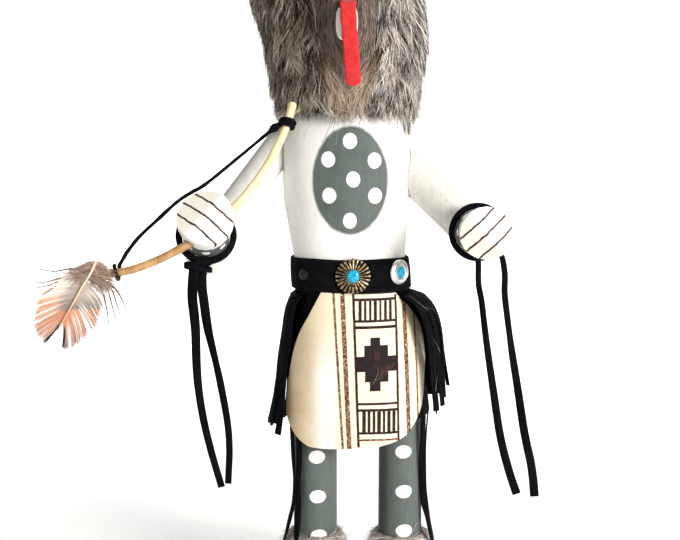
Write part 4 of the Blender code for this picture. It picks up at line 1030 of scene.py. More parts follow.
def make_wrist_laces(material):
    """The loop of each lace, the half hitch that holds it, and the knot's wraps, under the wrist."""
    for word, hand in HANDS.items():
        z, x, y, _ = [np.array(v) for v in hand_axes(hand)]
        middle = np.array(hand["middle"]) - z * 0.0255
        turn = circle(72)
        major = WRIST_RADIUS + GAP + 0.00135
        round_way = np.cos(turn)[:, None] * x + np.sin(turn)[:, None] * y
        wander = 0.0003 * np.sin(3 * turn)[:, None] * z
        rings = []
        for t in circle(10):
            thick = 0.00150 * np.sign(math.cos(t)) * abs(math.cos(t)) ** 0.7
            broad = 0.00210 * np.sign(math.sin(t)) * abs(math.sin(t)) ** 0.7
            rings.append(middle + round_way * (major + thick) + wander + z * broad)
        t = np.linspace(-0.4, 2 * math.pi - 0.9, 22)[:, None]
        hitch = middle - y * major + y * 0.0018 * np.cos(t) + z * 0.0021 * np.sin(t)
        hitch = hitch + x * 0.0011 * (t - 2.6) / 3
        shapes = [skin(rings, hoop=True), thong(hitch, 0.0028, 0.0009, x)]
        first, second = [np.array(lace[0][1]) for label, lace in LACE_ENDS.items() if label.startswith(word)]
        knot = (first + second) / 2 + np.array([0.0, 0.0, 0.0012])
        reach = (np.linalg.norm(first - second) / 2 + 0.0022) * np.cos(np.linspace(0, 2 * math.pi, 25))
        depth = 0.0019 * np.sin(np.linspace(0, 2 * math.pi, 25))
        for down, slope in KNOT_WRAPS[word]:
            wrap = knot + np.stack([reach, depth, down + slope * reach], axis=1)
            shapes.append(thong(wrap, 0.0026, 0.0012, (0.0, 0.0, 1.0)))
        piece("wrist_loop_" + word, joined(shapes), material, "wrist_lace_" + word)


# Bow and feather

BOW_ROUTE = [
    (0.0402, 0.0567), (0.0363, 0.0442), (0.0295, 0.0296), (0.0221, 0.0179), (0.0128, 0.0067),
    (-0.0032, -0.0075), (-0.0135, -0.0141), (-0.0244, -0.0194), (-0.0334, -0.0224), (-0.0409, -0.0232),
]
STRING_ROUTE = [
    (0.0313, 0.0449), (0.0157, 0.0310), (0.0006, 0.0178), (-0.0063, 0.0134), (-0.0124, 0.0090),
    (-0.0205, 0.0010), (-0.0286, -0.0072), (-0.0338, -0.0144),
]
BOW_AIM, BOW_X, BOW_Y, _ = [np.array(v) for v in hand_axes(HANDS["right"])]
BOW_MIDDLE = np.array(HANDS["right"]["middle"]) - BOW_AIM * 0.007


def in_bow_plane(flat, lift=0.0):
    flat = np.asarray(flat, float)
    return BOW_MIDDLE + flat[..., :1] * BOW_X + flat[..., 1:2] * BOW_Y + np.asarray(lift)[..., None] * BOW_AIM


def wound(share, turns, start, points):
    """A thong wound round the bow at a share of its length."""
    i = share * (len(points) - 1)
    k = int(i)
    middle = points[k] + (points[k + 1] - points[k]) * (i - k)
    ahead = unit(points[k + 1] - points[k])
    side = unit(np.cross(BOW_AIM, ahead))
    n = np.arange(int(turns * 14) + 1)[:, None] / 14
    t = start + 2 * math.pi * n
    return middle + ahead * 0.0021 * (n - turns / 2) + 0.00308 * (np.cos(t) * side + np.sin(t) * BOW_AIM)


def make_bow(reed, suede, chance):
    """A reed with three joints, and a string that is wound and knotted on near its ends."""
    middle = in_bow_plane(smooth_line(BOW_ROUTE, 60))
    along = np.linspace(0, 1, 60)
    radii = 0.00195 * (1 - 0.12 * along)
    for joint in (0.21, 0.47, 0.74):
        radii = radii + 0.00016 * np.exp(-(((along - joint) / 0.012) ** 2))
    end = middle[0] + unit(middle[0] - middle[1]) * np.array([[0.0011], [0.0007]])
    shape = tube(np.concatenate([end, middle]), np.concatenate([[0.0008, 0.0016], radii]), 14, BOW_AIM)
    piece("bow_reed", shape, reed, "bow_stick")
    turns = 1.6
    top = wound(0.085, turns, math.pi * (1 - 2 * turns), middle)
    whole = np.concatenate([
        top, in_bow_plane(smooth_line(STRING_ROUTE, 40)), wound(0.972, 1.1, math.pi, middle),
    ])
    along = lengths(whole)
    leave = along[len(top)]
    at = np.linspace(0, along[-1], 190)
    lumps = chance.uniform(-1, 1, 60)
    radii = 0.00082 + 0.00011 * np.interp(at, np.linspace(0, along[-1], 60), lumps)
    radii = np.where(at < leave - 0.001, 0.00112, radii) + 0.00105 * np.exp(-(((at - leave) / 0.0019) ** 2))
    piece("bow_thong", tube(evenly(whole, 190), radii, 8, BOW_AIM), suede, "bow_string")


def pale_reed():
    look = Look("pale_reed")
    place = look.place
    uv = node("UVMap", tree=look.material.node_tree, uv_map="along")[0]
    stretched = vector("MULTIPLY", uv, (60.0, 6.0, 1.0))
    fibres = noise(stretched, 3.0, 4.0, 0.6)
    blotch = noise(place, 160.0, 3.0)
    tone = fibres * 0.6 + blotch * 0.4
    pale_upper = ramp(tone, [(0.3, rgb(214, 176, 120)), (0.5, rgb(244, 222, 172)), (0.7, rgb(252, 242, 206))])
    brown_lower = ramp(tone, [(0.36, rgb(128, 86, 46)), (0.5, rgb(178, 132, 82)), (0.66, rgb(216, 180, 128))])
    down = split(uv)[1]
    # Paler towards the reed's upper end and browner towards its lower end.
    colour = mix(step(down, 0.42, 0.66), pale_upper, brown_lower)
    return look.done(colour, 0.45, fibres, 0.0001, 0.5)


FEATHER_LEFT = [
    (-0.0475, -0.0198), (-0.0555, -0.0232), (-0.0610, -0.0277), (-0.0673, -0.0330), (-0.0691, -0.0393),
    (-0.0696, -0.0437), (-0.0690, -0.0492), (-0.0666, -0.0533), (-0.0636, -0.0544),
]
FEATHER_SHAFT = [
    (-0.0456, -0.0203), (-0.0478, -0.0257), (-0.0511, -0.0316), (-0.0545, -0.0384), (-0.0605, -0.0502),
]
FEATHER_RIGHT = [
    (-0.0437, -0.0206), (-0.0403, -0.0243), (-0.0390, -0.0305), (-0.0422, -0.0365), (-0.0439, -0.0419),
    (-0.0460, -0.0480), (-0.0499, -0.0517), (-0.0545, -0.0560), (-0.0590, -0.0568),
]
FEATHER_LIFT = 0.0050
FEATHER_HIGH = 0.1950
FEATHER_LOW = 0.1550
FEATHER_WISPS = [
    [(-0.0490, -0.0232), (-0.0590, -0.0262), (-0.0660, -0.0285), (-0.0716, -0.0288)],
    [(-0.0490, -0.0236), (-0.0580, -0.0268), (-0.0650, -0.0300), (-0.0712, -0.0312)],
    [(-0.0500, -0.0240), (-0.0585, -0.0280), (-0.0640, -0.0318), (-0.0672, -0.0345)],
    [(-0.0480, -0.0222), (-0.0560, -0.0226), (-0.0630, -0.0238), (-0.0690, -0.0228)],
    [(-0.0410, -0.0285), (-0.0370, -0.0325), (-0.0345, -0.0370), (-0.0326, -0.0419)],
    [(-0.0440, -0.0270), (-0.0405, -0.0330), (-0.0385, -0.0400), (-0.0368, -0.0460)],
    [(-0.0446, -0.0270), (-0.0425, -0.0340), (-0.0408, -0.0410), (-0.0398, -0.0478)],
    [(-0.0436, -0.0262), (-0.0395, -0.0310), (-0.0372, -0.0372), (-0.0352, -0.0438)],
]


def make_vanes(shaft, edges, vane, chance):
    """Barbs from the quill to either edge, which cling together in bunches."""
    ahead = unit(shaft[-1] - shaft[0])
    t = np.linspace(0, 1, 8)[:, None]
    points, across, tint = [], [], []
    for side, edge in edges.items():
        bunches = np.sort(chance.uniform(4, 109, 22))
        for k in np.linspace(6, 108.9, 300):
            share = k / 109
            near = bunches[np.argmin(np.abs(bunches - k))]
            held = edge[int(np.clip(k + (near - k) * 0.30 + chance.normal(0, 0.7), 0, 108.9))]
            tip = held + (held - shaft[int(79 * share * 0.9)]) * chance.normal(0.0, 0.045)
            if side > 0 and share < 0.42 and chance.uniform() < 0.45:
                continue
            root = shaft[int(79 * max(0.0, share * 0.93 - 0.07))]
            bend = root + (tip - root) * t - ahead * 0.0009 * (t * (1 - t)) * 4
            lift = FEATHER_LIFT + 0.0012 * (1 - t[:, 0]) ** 2 + chance.uniform(-0.0003, 0.0003)
            points.append(in_bow_plane(bend, lift))
            across.append(np.cross(onward(points[-1]), BOW_AIM) * (0.00034 * (1 - 0.60 * t)))
            tint.append(share if side > 0 else share - 2.0)
    strands("feather_vanes", points, across, tint, vane, "feather", "feather")


def make_down(shaft, edges, down, chance):
    """Fluff at the quill's root, with a few long wisps."""
    t = np.linspace(0, 1, 8)[:, None]
    points, across, tint = [], [], []
    for k in range(760):
        place = chance.uniform(0, 0.24)
        side = 1 if chance.uniform() < 0.62 else -1
        root = shaft[int(79 * place)]
        away = edges[side][int(8 + 95 * place)] - root
        wisp = k % 24 == 0
        reach = unit(away) * chance.uniform(*((1.3, 1.95) if wisp else (0.2, 0.9))) * np.linalg.norm(away)
        curl = chance.normal(0, 0.0022, 2)
        line = root + reach * t + curl * t**2 + np.array([0, -0.0020]) * t**2
        line = line + 0.0004 * np.sin(9 * t + chance.uniform(0, 6)) * np.array([[0.6, 0.8]])
        lift = FEATHER_LIFT - 0.0012 + chance.uniform(0, 0.0034) + chance.normal(0, 0.0006) * t[:, 0]
        points.append(in_bow_plane(line, lift))
        across.append(np.cross(onward(points[-1]), BOW_AIM) * (0.00013 * (1 - 0.6 * t)))
        tint.append(0.1 if wisp else chance.uniform())
    for wisp in FEATHER_WISPS:
        points.append(in_bow_plane(smooth_line(wisp, 8), FEATHER_LIFT - 0.0006 + 0.0012 * t[:, 0]))
        across.append(np.cross(onward(points[-1]), BOW_AIM) * (0.00048 * (1 - 0.7 * t)))
        tint.append(-0.2)
    strands("feather_down", points, across, tint, down, "feather")


def make_feather(vane, down, quill, chance):
    """Vanes, down and a quill, beside the bow's lower end."""
    shaft = smooth_line(FEATHER_SHAFT, 80)
    edges = {-1: smooth_line(FEATHER_LEFT, 110), 1: smooth_line(FEATHER_RIGHT, 110)}
    make_vanes(shaft, edges, vane, chance)
    make_down(shaft, edges, down, chance)
    line = in_bow_plane(shaft, np.linspace(FEATHER_LIFT + 0.0020, FEATHER_LIFT + 0.0018, 80))
    piece("feather_quill", tube(line, np.linspace(0.00060, 0.00018, 80), 8, BOW_AIM), quill, None)


def vane_look():
    """Barred barbs: brown-grey at the root, cream along one edge, a rust band and dull tips, with painted
    shade in the notch.
    """
    look = Look("feather_vane")
    place = look.place
    uv = look.along()
    left = calc("LESS_THAN", uv[0], 0.0)
    share = left * 2.0 + uv[0]
    across = uv[1]
    barb = noise(node("CombineXYZ", (uv[0] * 95.0,))[0], 1.0, 2.0)
    height = split(place)[2]
    at = (FEATHER_HIGH - height) / (FEATHER_HIGH - FEATHER_LOW)
    at = noise(place, 420.0, 3.0) * 0.08 + (at - 0.04)
    right_colour = ramp(at, [
        (0.08, rgb(138, 112, 98)), (0.20, rgb(180, 160, 148)),
        (0.46, rgb(186, 172, 162)), (0.60, rgb(140, 128, 122)),
        (0.63, rgb(210, 142, 104)), (0.84, rgb(196, 132, 104)),
        (0.92, rgb(170, 134, 128)), (0.99, rgb(128, 98, 94)),
    ])
    left_colour = ramp(at, [
        (0.08, rgb(158, 132, 116)), (0.22, rgb(206, 190, 178)),
        (0.34, rgb(248, 236, 220)), (0.46, rgb(242, 218, 194)),
        (0.56, rgb(216, 158, 118)), (0.82, rgb(200, 138, 108)),
        (0.93, rgb(156, 124, 116)), (0.99, rgb(118, 92, 86)),
    ])
    outer = left * step(across, 0.25, 0.6)
    outer = calc("MAXIMUM", outer, left * step(at, 0.62, 0.68))
    colour = mix(outer, right_colour, left_colour)
    pale = step(barb, 0.46, 0.62) * step(across, 0.02, 0.5)
    colour = mix(pale * 0.82, colour, rgb(252, 246, 238))
    dull = step(barb, 0.42, 0.30) * step(across, 0.3, 0.95)
    colour = mix(dull * 0.6, colour, rgb(112, 88, 82))
    # Painted shade: barbs by the quill at the far end are darkened nearly to black in the notch.
    notch_shade = step(share, 0.955, 0.985) * step(across, 0.15, 0.4)
    colour = mix(notch_shade, colour, rgb(36, 26, 26))
    return look.done(colour, 0.6, Specular_IOR_Level=0.3)


def down_look(name, dark, pale):
    look = Look(name)
    uv = look.along()
    return look.done(mix(uv[0], dark, pale), 0.7)


def quill_look():
    look = Look("quill")
    place = look.place
    uv = look.along()
    colour = ramp(uv[1], [(0.0, rgb(240, 212, 184)), (0.6, rgb(226, 180, 144)), (1.0, rgb(208, 150, 112))])
    fine = noise(place, 900.0, 2.0)
    return look.done(colour, 0.35, fine, 0.00004, 0.3)


# Fur

RUFF_LEVELS = [0.236, 0.246, 0.2525, 0.263, 0.282, 0.308, 0.318, 0.327]
RUFF_HALF = [0.0326, 0.0336, 0.0346, 0.0366, 0.0395, 0.0425, 0.0412, 0.0345]
RUFF_X = -0.006
RUFF_DEEP = 0.86


def ruff_middle(z):
    """The ruff leans to the bow's side above the jaw."""
    high = np.clip((z - 0.281) / 0.034, 0, 1)
    return RUFF_X - 0.0048 * high * high * (3 - 2 * high)


def ruff_point(turn, z, inset):
    """A place on the ruff, turned from the front, with inset measured in from its outer surface."""
    half = np.interp(z, RUFF_LEVELS, RUFF_HALF) - inset
    deep = np.interp(z, RUFF_LEVELS, RUFF_HALF) * np.interp(z, [0.240, 0.2525], [0.89, RUFF_DEEP]) - inset
    return np.stack([ruff_middle(z) + half * np.sin(turn), -deep * np.cos(turn), z], axis=-1)


FORWARD = np.array([0.0, -1.0, 0.0])
SHORT_TAPER = np.array([1.0, 0.95, 0.8, 0.5, 0.12])[None, :, None]
PARTING_LEVELS = [0.264, 0.270, 0.277, 0.290, 0.305, 0.330]
PARTING_HALF = [0.0000, 0.0026, 0.0088, 0.0112, 0.0122, 0.0126]


def comb(chance, locks, per_lock, stations, tall, tint_level, lean_spread, lift, width, low=0.2512):
    """Hair in locks whose tips draw together. Returns points, half widths and tints."""
    lock_turn = chance.uniform(-math.pi, math.pi, locks)
    lock_z = low + 0.0045 + (0.3250 - low - 0.0045) * chance.uniform(0, 1, locks) ** 0.85
    front = np.exp(-np.abs(lock_turn) / 0.55) * np.sign(lock_turn)
    part = front * np.interp(lock_z, [0.264, 0.292], [-0.42, 0.12])
    lock_tilt = chance.normal(-0.06, lean_spread, locks) + part
    warm = np.clip(tint_level + 0.09 * np.sin(lock_turn), 0, 1)
    lock_tint = np.clip(warm + chance.normal(0, 0.26, locks), 0, 1)
    lock_long = chance.uniform(*tall, locks)
    lock_end = low + chance.normal(0, 0.0016, locks)
    lock_lift = chance.exponential(lift, locks)

    def spread(values, amount):
        return np.repeat(values, per_lock) + chance.normal(0, amount, locks * per_lock)

    turn = spread(lock_turn, 0.050)
    z0 = spread(lock_z, 0.0016)
    gather = (np.repeat(lock_turn, per_lock) - turn) * 0.8
    tilt = spread(lock_tilt, 0.07)
    long = spread(lock_long, 0.0018)
    tint = np.clip(spread(lock_tint, 0.15), 0, 1)
    rise = np.repeat(lock_lift, per_lock)
    end = spread(lock_end, 0.0010)
    long = np.minimum(long, (z0 - end) / np.cos(tilt))
    keep = long > 0.003
    turn, z0, gather, tilt, long, tint, rise = (v[keep] for v in (turn, z0, gather, tilt, long, tint, rise))
    t = np.linspace(0, 1, stations)[None, :]
    z = z0[:, None] - long[:, None] * np.cos(tilt)[:, None] * t
    radius = np.interp(z, RUFF_LEVELS, RUFF_HALF)
    curl = chance.normal(0, 0.035, len(turn))[:, None]
    curl = curl * np.sin(3.0 * t + chance.uniform(0, 6, len(turn))[:, None])
    swing = turn[:, None] + long[:, None] * np.sin(tilt)[:, None] * t / radius
    swing = swing + gather[:, None] * t**1.3 + curl * t
    stand = (chance.normal(0, 0.0007, len(turn)) - rise)[:, None] * t**1.5
    inset = 0.0050 * (1 - t) ** 1.3 - 0.0004 + stand + chance.uniform(0, 0.0018, len(turn))[:, None]
    points = ruff_point(swing, z, np.maximum(inset, -0.0046))
    off = np.abs(points[..., 0] - RUFF_X)
    open_half = np.interp(points[..., 2], PARTING_LEVELS, PARTING_HALF)
    clear = np.all((off > open_half * 0.93) | (points[..., 1] > 0), axis=1)
    points, tint = points[clear], tint[clear]
    out = unit(np.stack([points[..., 0] - RUFF_X, points[..., 1], np.zeros_like(points[..., 0])], axis=-1))
    out = unit(out + chance.normal(0, 0.45, out.shape[:1] + (1, 3)))
    taper = np.interp(np.linspace(0, 1, stations), [0, 0.35, 0.7, 1], [1.0, 0.97, 0.7, 0.12])[None, :, None]
    across = unit(np.cross(onward(points), out)) * width * taper
    across = across * chance.uniform(0.7, 1.25, (len(points), 1, 1))
    return points, across, tint


def make_ruff(guard, wool, frost, under, chance):
    """A hide, short dark wool on it, long guard hair in locks, and pale hairs scattered over them."""
    turn = circle(72)
    levels = (0.2530, 0.258, 0.268, 0.285, 0.305, 0.3155, 0.322)
    outer = np.array([ruff_point(turn, np.full_like(turn, z), 0.0045) for z in levels])
    inner = []
    for z in (0.322, 0.300, 0.2572, 0.2530):
        r = 0.0251 if z > 0.257 else 0.0288
        x, y = RUFF_X + r * np.sin(turn), -max(0.0251, r * 0.86) * np.cos(turn)
        inner.append(np.stack([x, y, np.full_like(turn, z)], axis=1))
    notch_shade = (np.abs(outer[..., 0] - RUFF_X) < 0.0095) & (outer[..., 1] < 0) & (outer[..., 2] > 0.284)
    outer[..., 1] = np.where(notch_shade, np.maximum(outer[..., 1], -0.0262), outer[..., 1])
    piece("ruff_hide", skin(np.concatenate([outer, inner]), hoop=True), under, "fur_ruff")
    coats = (
        ("ruff_wool", wool, (1150, 13, 5, (0.008, 0.014), 0.30, 0.42, 0.0002, 0.00021)),
        ("ruff_fur", guard, (820, 18, 7, (0.012, 0.024), 0.46, 0.36, 0.0007, 0.00018)),
        ("ruff_frost", frost, (520, 9, 7, (0.012, 0.022), 0.74, 0.34, 0.0012, 0.00019, 0.2500)),
    )
    for name, hair, growth in coats:
        strands(name, *comb(chance, *growth), hair, "fur")


def make_parting(fur, chance):
    """Short smooth hair that lies down either side of the jaw and closes under the tongue."""
    count, k = 9000, 5
    side = np.where(chance.uniform(0, 1, (count, 1)) < 0.5, -1.0, 1.0)
    off = chance.uniform(0, 1, (count, 1)) ** 0.8
    z0 = 0.2700 + 0.0530 * chance.uniform(0, 1, (count, 1))
    t = np.linspace(0, 1, k)[None, :]
    z = z0 - chance.uniform(0.006, 0.011, (count, 1)) * t
    reach = np.interp(z, PARTING_LEVELS, PARTING_HALF) + 0.0016
    beside = np.interp(z, [0.266, 0.280, 0.287], [0.0, 0.0, 0.0044])
    wander = chance.normal(0, 0.0007, (count, 1)) * t
    x = RUFF_X + side * (beside + np.maximum(reach - beside, 0.0008) * off + wander)
    bulge = np.interp(z, [0.258, 0.270, 0.284, 0.330], [-0.0315, -0.0350, -0.0450, -0.0490])
    half = np.interp(z, RUFF_LEVELS, RUFF_HALF)
    surface = -RUFF_DEEP * np.sqrt(np.maximum(half**2 - (x - RUFF_X) ** 2, 1e-8))
    y = bulge * (1 - off**1.3) + surface * off**1.3 + 0.0022 * (1 - t) - chance.uniform(0, 0.0012, (count, 1))
    points = np.stack([x, y, z], axis=-1)
    out = unit(FORWARD + chance.normal(0, 0.35, (count, 1, 3)))
    across = unit(np.cross(onward(points), out)) * 0.00017 * SHORT_TAPER
    strands("ruff_parting", points, across, chance.uniform(0, 1, count), fur, "fur")


def make_sweep(fur, chance):
    """Long tan hair that sweeps from the sides of the parting to the middle under the tongue."""
    count, k = 1100, 7
    side = np.where(chance.uniform(0, 1, (count, 1)) < 0.5, -1.0, 1.0)
    t = np.linspace(0, 1, k)[None, :]
    share = chance.uniform(0, 1, (count, 1))
    top = 0.2660 + 0.0190 * share + chance.normal(0, 0.0010, (count, 1))
    end = 0.2535 + 0.0075 * share + chance.normal(0, 0.0024, (count, 1))
    z = top + (end - top) * t
    start = side * (0.0040 + 0.0100 * share + chance.normal(0, 0.0026, (count, 1)))
    stop = side * 0.0068 * chance.uniform(0, 1, (count, 1)) + chance.normal(0, 0.0028, (count, 1))
    x = RUFF_X + start + (stop - start) * t**1.2
    half = np.interp(z, RUFF_LEVELS, RUFF_HALF)
    y = -RUFF_DEEP * np.sqrt(half**2 - (x - RUFF_X) ** 2) - 0.0006
    y = y - 0.0012 * np.sin(math.pi * t) + 0.0030 * (1 - t) ** 2
    points = np.stack([x, y - chance.uniform(0, 0.0010, (count, 1)), z], axis=-1)
    out = unit(FORWARD + chance.normal(0, 0.35, (count, 1, 3)))
    taper = np.array([1.0, 1.0, 0.97, 0.9, 0.7, 0.45, 0.12])[None, :, None]
    across = unit(np.cross(onward(points), out)) * 0.00016 * taper
    strands("ruff_sweep", points, across, chance.uniform(0.0, 1.0, count), fur, "fur")


# Where each stray hair starts and ends: x and z on the apron with its bend, or z and turn on the fringe
HAIRS_ON_APRON = [
    (0.0090, 0.1345, 0.0066, 0.1242, 0.0012), (0.0080, 0.1262, 0.0102, 0.1270, 0.0008),
    (-0.0102, 0.1240, -0.0118, 0.1120, 0.0006), (0.0180, 0.1700, 0.0224, 0.1722, -0.0006),
]
HAIRS_ON_FRINGE = [
    (0.166, 0.158, 42, 30), (0.160, 0.157, 36, 18), (0.146, 0.138, 38, 30), (0.128, 0.120, 36, 40),
]


def make_stray_hairs(fur):
    """Pale hairs shed on the apron and on the fringe of the other side."""
    lines = []
    t = np.linspace(0, 1, 12)
    for x0, z0, x1, z1, bend in HAIRS_ON_APRON:
        x, z = x0 + (x1 - x0) * t + bend * np.sin(math.pi * t), z0 + (z1 - z0) * t
        y, _ = apron_face(x, np.minimum(z, 0.166))
        lines.append(np.stack([x, y - 0.0013, z], axis=1))
    for z0, z1, a0, a1 in HAIRS_ON_FRINGE:
        turn = np.radians(a0 + (a1 - a0) * t)
        z = z0 + (z1 - z0) * t + 0.0007 * np.sin(math.pi * t)
        off = np.interp(z, [0.112, 0.146, 0.158, 0.166], [0.0186, 0.0170, 0.0125, 0.0060]) + 0.0016
        x, y = section(turn, FRINGE_HALF + off, FRINGE_DEEP + off)
        lines.append(np.stack([lean(z) + x, -y, z], axis=1))
    across = [np.cross(onward(line), FORWARD) * 0.000035 for line in lines]
    strands("stray_hairs", lines, across, np.full(len(lines), 0.45), fur, "fur")


# The turn from the front and the level where the longest hairs leave the ruff
LOOSE_STARTS = [
    (-0.6, 0.262), (-0.2, 0.258), (0.25, 0.260), (0.55, 0.262), (0.95, 0.262), (1.25, 0.266),
    (-1.35, 0.285), (-1.2, 0.300), (1.4, 0.268), (-0.9, 0.262), (1.05, 0.258), (0.75, 0.256),
]


def make_loose_hairs(fur, chance):
    """Hairs that have strayed over the chest and the arms."""
    points, across, tint = [], [], []
    t = np.linspace(0, 1, 9)

    def add(line, half, shade):
        points.append(line)
        across.append(np.cross(onward(line), FORWARD) * half)
        tint.append(shade)

    beside = [(chance.uniform(-1.75, -1.25), chance.uniform(0.262, 0.318)) for _ in range(90)]
    beside += [(chance.uniform(1.3, 1.7), chance.uniform(0.262, 0.318)) for _ in range(40)]
    for turn, z in beside:
        long = chance.uniform(0.012, 0.021)
        swing = turn + chance.normal(0, 0.1) * t
        line = ruff_point(swing, z - long * t * 0.88, -chance.uniform(0.001, 0.0046) * t**1.4)
        add(line, 0.00009 * (1.1 - t[:, None]), chance.uniform(0.0, 0.6))
    for _ in range(330):
        start, end = chance.normal(1.02, 0.10), chance.normal(1.10, 0.035)
        z0, z1 = chance.uniform(0.256, 0.272), 0.2425 + abs(chance.normal(0, 0.0042))
        line = ruff_point(start + (end - start) * t**0.7, z0 + (z1 - z0) * t, 0.003 * (1 - t) - 0.0008)
        add(line, 0.00014 * (1.12 - t[:, None]), chance.uniform(0.1, 0.9))
    for turn, z in LOOSE_STARTS * 4:
        turn = turn + chance.normal(0, 0.06)
        long = chance.uniform(0.014, 0.026) if abs(turn) < 1.3 else 0.016
        swing = turn + chance.normal(0, 0.12) * t + 0.05 * np.sin(4 * t)
        line = ruff_point(swing, z - long * t * 0.92, -0.0012 * t - 0.0012 * t**2)
        add(line, 0.00008, chance.uniform(0.0, 0.55))
    strands("loose_hairs", points, across, tint, fur, "fur")


def make_ankle_fur(word, centre_x, fur, under, chance):
    """A hide cuff round an ankle, with soft hair that falls over it."""
    turn = circle(40)
    rings = []
    for r, z in ((0.0115, 0.0292), (0.0138, 0.0292), (0.0146, 0.034), (0.0140, 0.0395), (0.0122, 0.0412),
                 (0.0115, 0.0412)):
        x, y = centre_x + r * np.sin(turn), LEG_Y - r * np.cos(turn)
        rings.append(np.stack([x, y, np.full_like(turn, z)], axis=1))
    hide = skin(rings, hoop=True)
    piece("ankle_hair_" + word + "_hide", hide, under, "ankle_fur_" + word)
    count, stations = 4200, 5
    turn = chance.uniform(-math.pi, math.pi, count)[:, None]
    z0 = chance.uniform(0.0300, 0.0415, count)[:, None]
    long = chance.uniform(0.005, 0.0095, count)[:, None]
    t = np.linspace(0, 1, stations)[None, :]
    tilt = chance.normal(0, 0.75, count)[:, None]
    z = np.maximum(z0 - long * t * np.cos(tilt), 0.0152)
    body = np.interp(z, [0.0285, 0.034, 0.0395, 0.0415], [0.0150, 0.0152, 0.0145, 0.0120])
    reach = body - 0.0012 * (1 - t) + chance.exponential(0.0014, count)[:, None] * t
    swing = turn + long * np.sin(tilt) * t / 0.014
    points = np.stack([centre_x + reach * np.sin(swing), LEG_Y - reach * np.cos(swing), z], axis=-1)
    out = unit(points - np.array([centre_x, LEG_Y, 0])) * np.array([1, 1, 0])
    across = unit(np.cross(onward(points), out + 1e-6)) * 0.00017 * SHORT_TAPER
    strands("ankle_hair_" + word, points, across, chance.uniform(0.2, 1.0, count), fur, "pale_fur")


def fur_look(name, roots, middles, tips, cool=None, depth=0.0):
    """Hair dark at the root and pale at the tip. Each pair is for the darkest and palest hair.
    cool holds the pairs of the far side, where the pelt is greyer."""
    look = Look(name)
    place = look.place
    uv = look.along()

    def side(roots, middles, tips):
        dark = ramp(uv[1], [(0.0, roots[0]), (0.45, middles[0]), (0.85, tips[0]), (1.0, middles[0])])
        pale = ramp(uv[1], [(0.0, roots[1]), (0.35, middles[1]), (0.75, tips[1])])
        return mix(step(uv[0], 0.05, 0.95, False), dark, pale)

    colour = side(roots, middles, tips)
    patch = noise(vector("MULTIPLY", place, (1.0, 1.0, 0.26)), 210.0, 4.0, 0.65)
    # Painted shade: random patches are darkened nearly to black, as though they lay low in the pelt; depth
    # sets how strongly.
    painted_gap_shade = step(patch, 0.52, 0.40) * depth
    if cool:
        x = split(place)[0]
        x = noise(place, 90.0, 2.0) * 0.030 + x
        colour = mix(step(x, -0.002, 0.026), colour, side(*cool))
    colour = mix(painted_gap_shade, colour, rgb(22, 15, 14))
    return look.done(colour, 0.55, Specular_IOR_Level=0.22)


def hide_look(name, dark, pale):
    look = Look(name)
    place = look.place
    long = vector("MULTIPLY", place, (1.0, 1.0, 0.12))
    hair = noise(long, 1900.0, 4.0, 0.6)
    return look.done(mix(step(hair, 0.35, 0.7), dark, pale), 0.8, hair, 0.0003, 0.8)


# Tongue

TONGUE_ROUTE = [
    (-0.0060, -0.0360, 0.3010), (-0.0060, -0.0438, 0.3010), (-0.0058, -0.0478, 0.3009),
    (-0.0056, -0.0500, 0.2988), (-0.0051, -0.0502, 0.2910), (-0.0041, -0.0484, 0.2796),
    (-0.0030, -0.0460, 0.2642),
]


def make_tongue(material, fuzz, chance):
    """A felt strip over the lower jaw, round at its tip, with a fuzz of fibres at its edges."""
    rows, columns = 60, 9
    line = smooth_line(TONGUE_ROUTE, rows)
    out = unit(np.cross(onward(line), (-1.0, 0.0, 0.0)))
    along = lengths(line)
    left_over = along[-1] - along
    half = 0.0035 * np.sqrt(np.clip(1 - np.clip(1 - left_over / 0.0030, 0, 0.985) ** 2, 0.03, 1))
    half = half * (1 + 0.03 * np.sin(along * 700))
    across = np.linspace(-1, 1, columns)
    bulge = 0.0007 * (1 - 0.35 * np.abs(across) ** 4)
    x = np.array([1.0, 0.0, 0.0])
    middle = line[:, None, :] + half[:, None, None] * across[None, :, None] * x
    front = middle + out[:, None, :] * bulge[None, :, None]
    back = middle - out[:, None, :] * bulge[None, :, None]
    o = piece("tongue_felt", slab(front, back), material, "tongue")
    count = 900
    pick = chance.integers(8, rows, count)
    at_edge = chance.uniform(0, 1, count) < 0.6
    place = np.where(at_edge, np.sign(chance.normal(0, 1, count)), chance.uniform(-1, 1, count))
    root = line[pick] + (half[pick] * place)[:, None] * x + out[pick] * 0.0005
    way = unit(out[pick] * 0.35 + place[:, None] * x * 0.8 + chance.normal(0, 0.5, (count, 3)))
    t = np.linspace(0, 1, 4)[None, :, None]
    points = root[:, None, :] + way[:, None, :] * t * chance.uniform(0.0002, 0.0007, (count, 1, 1))
    wide = unit(np.cross(way, chance.normal(0, 1, (count, 3))))[:, None, :] * 0.00003 * (1.1 - t)
    strands("tongue_fuzz", points, wide, chance.uniform(0, 1, count), fuzz, "red_felt")


def red_felt():
    look = Look("red_felt")
    place = look.place
    nap = use(NAP, Position=place, Scale=2600.0)
    colour = mix(step(nap["Tone"], 0.35, 0.7), rgb(184, 22, 26), rgb(222, 44, 42))
    return look.done(colour, 0.9, nap["Height"], 0.0002, 0.8, Sheen_Weight=0.25, Sheen_Roughness=0.5)


# Ornaments on the belt


def belt_place(turn, z, out):
    """A point out from the belt's face, its normal and two directions across it."""
    a, b = belt_half(z, BELT_THICK)
    x, y = section(np.array(turn - math.pi / 2), a, b)
    steep = SECTION_POWER - 1
    normal = unit(np.array([np.sign(x) * abs(x / a) ** steep / a, np.sign(y) * abs(y / b) ** steep / b, 0.0]))
    level = np.array([-normal[1], normal[0], 0.0])
    place = np.array([lean(z) + x, y, z]) + normal * out
    return place, normal, level


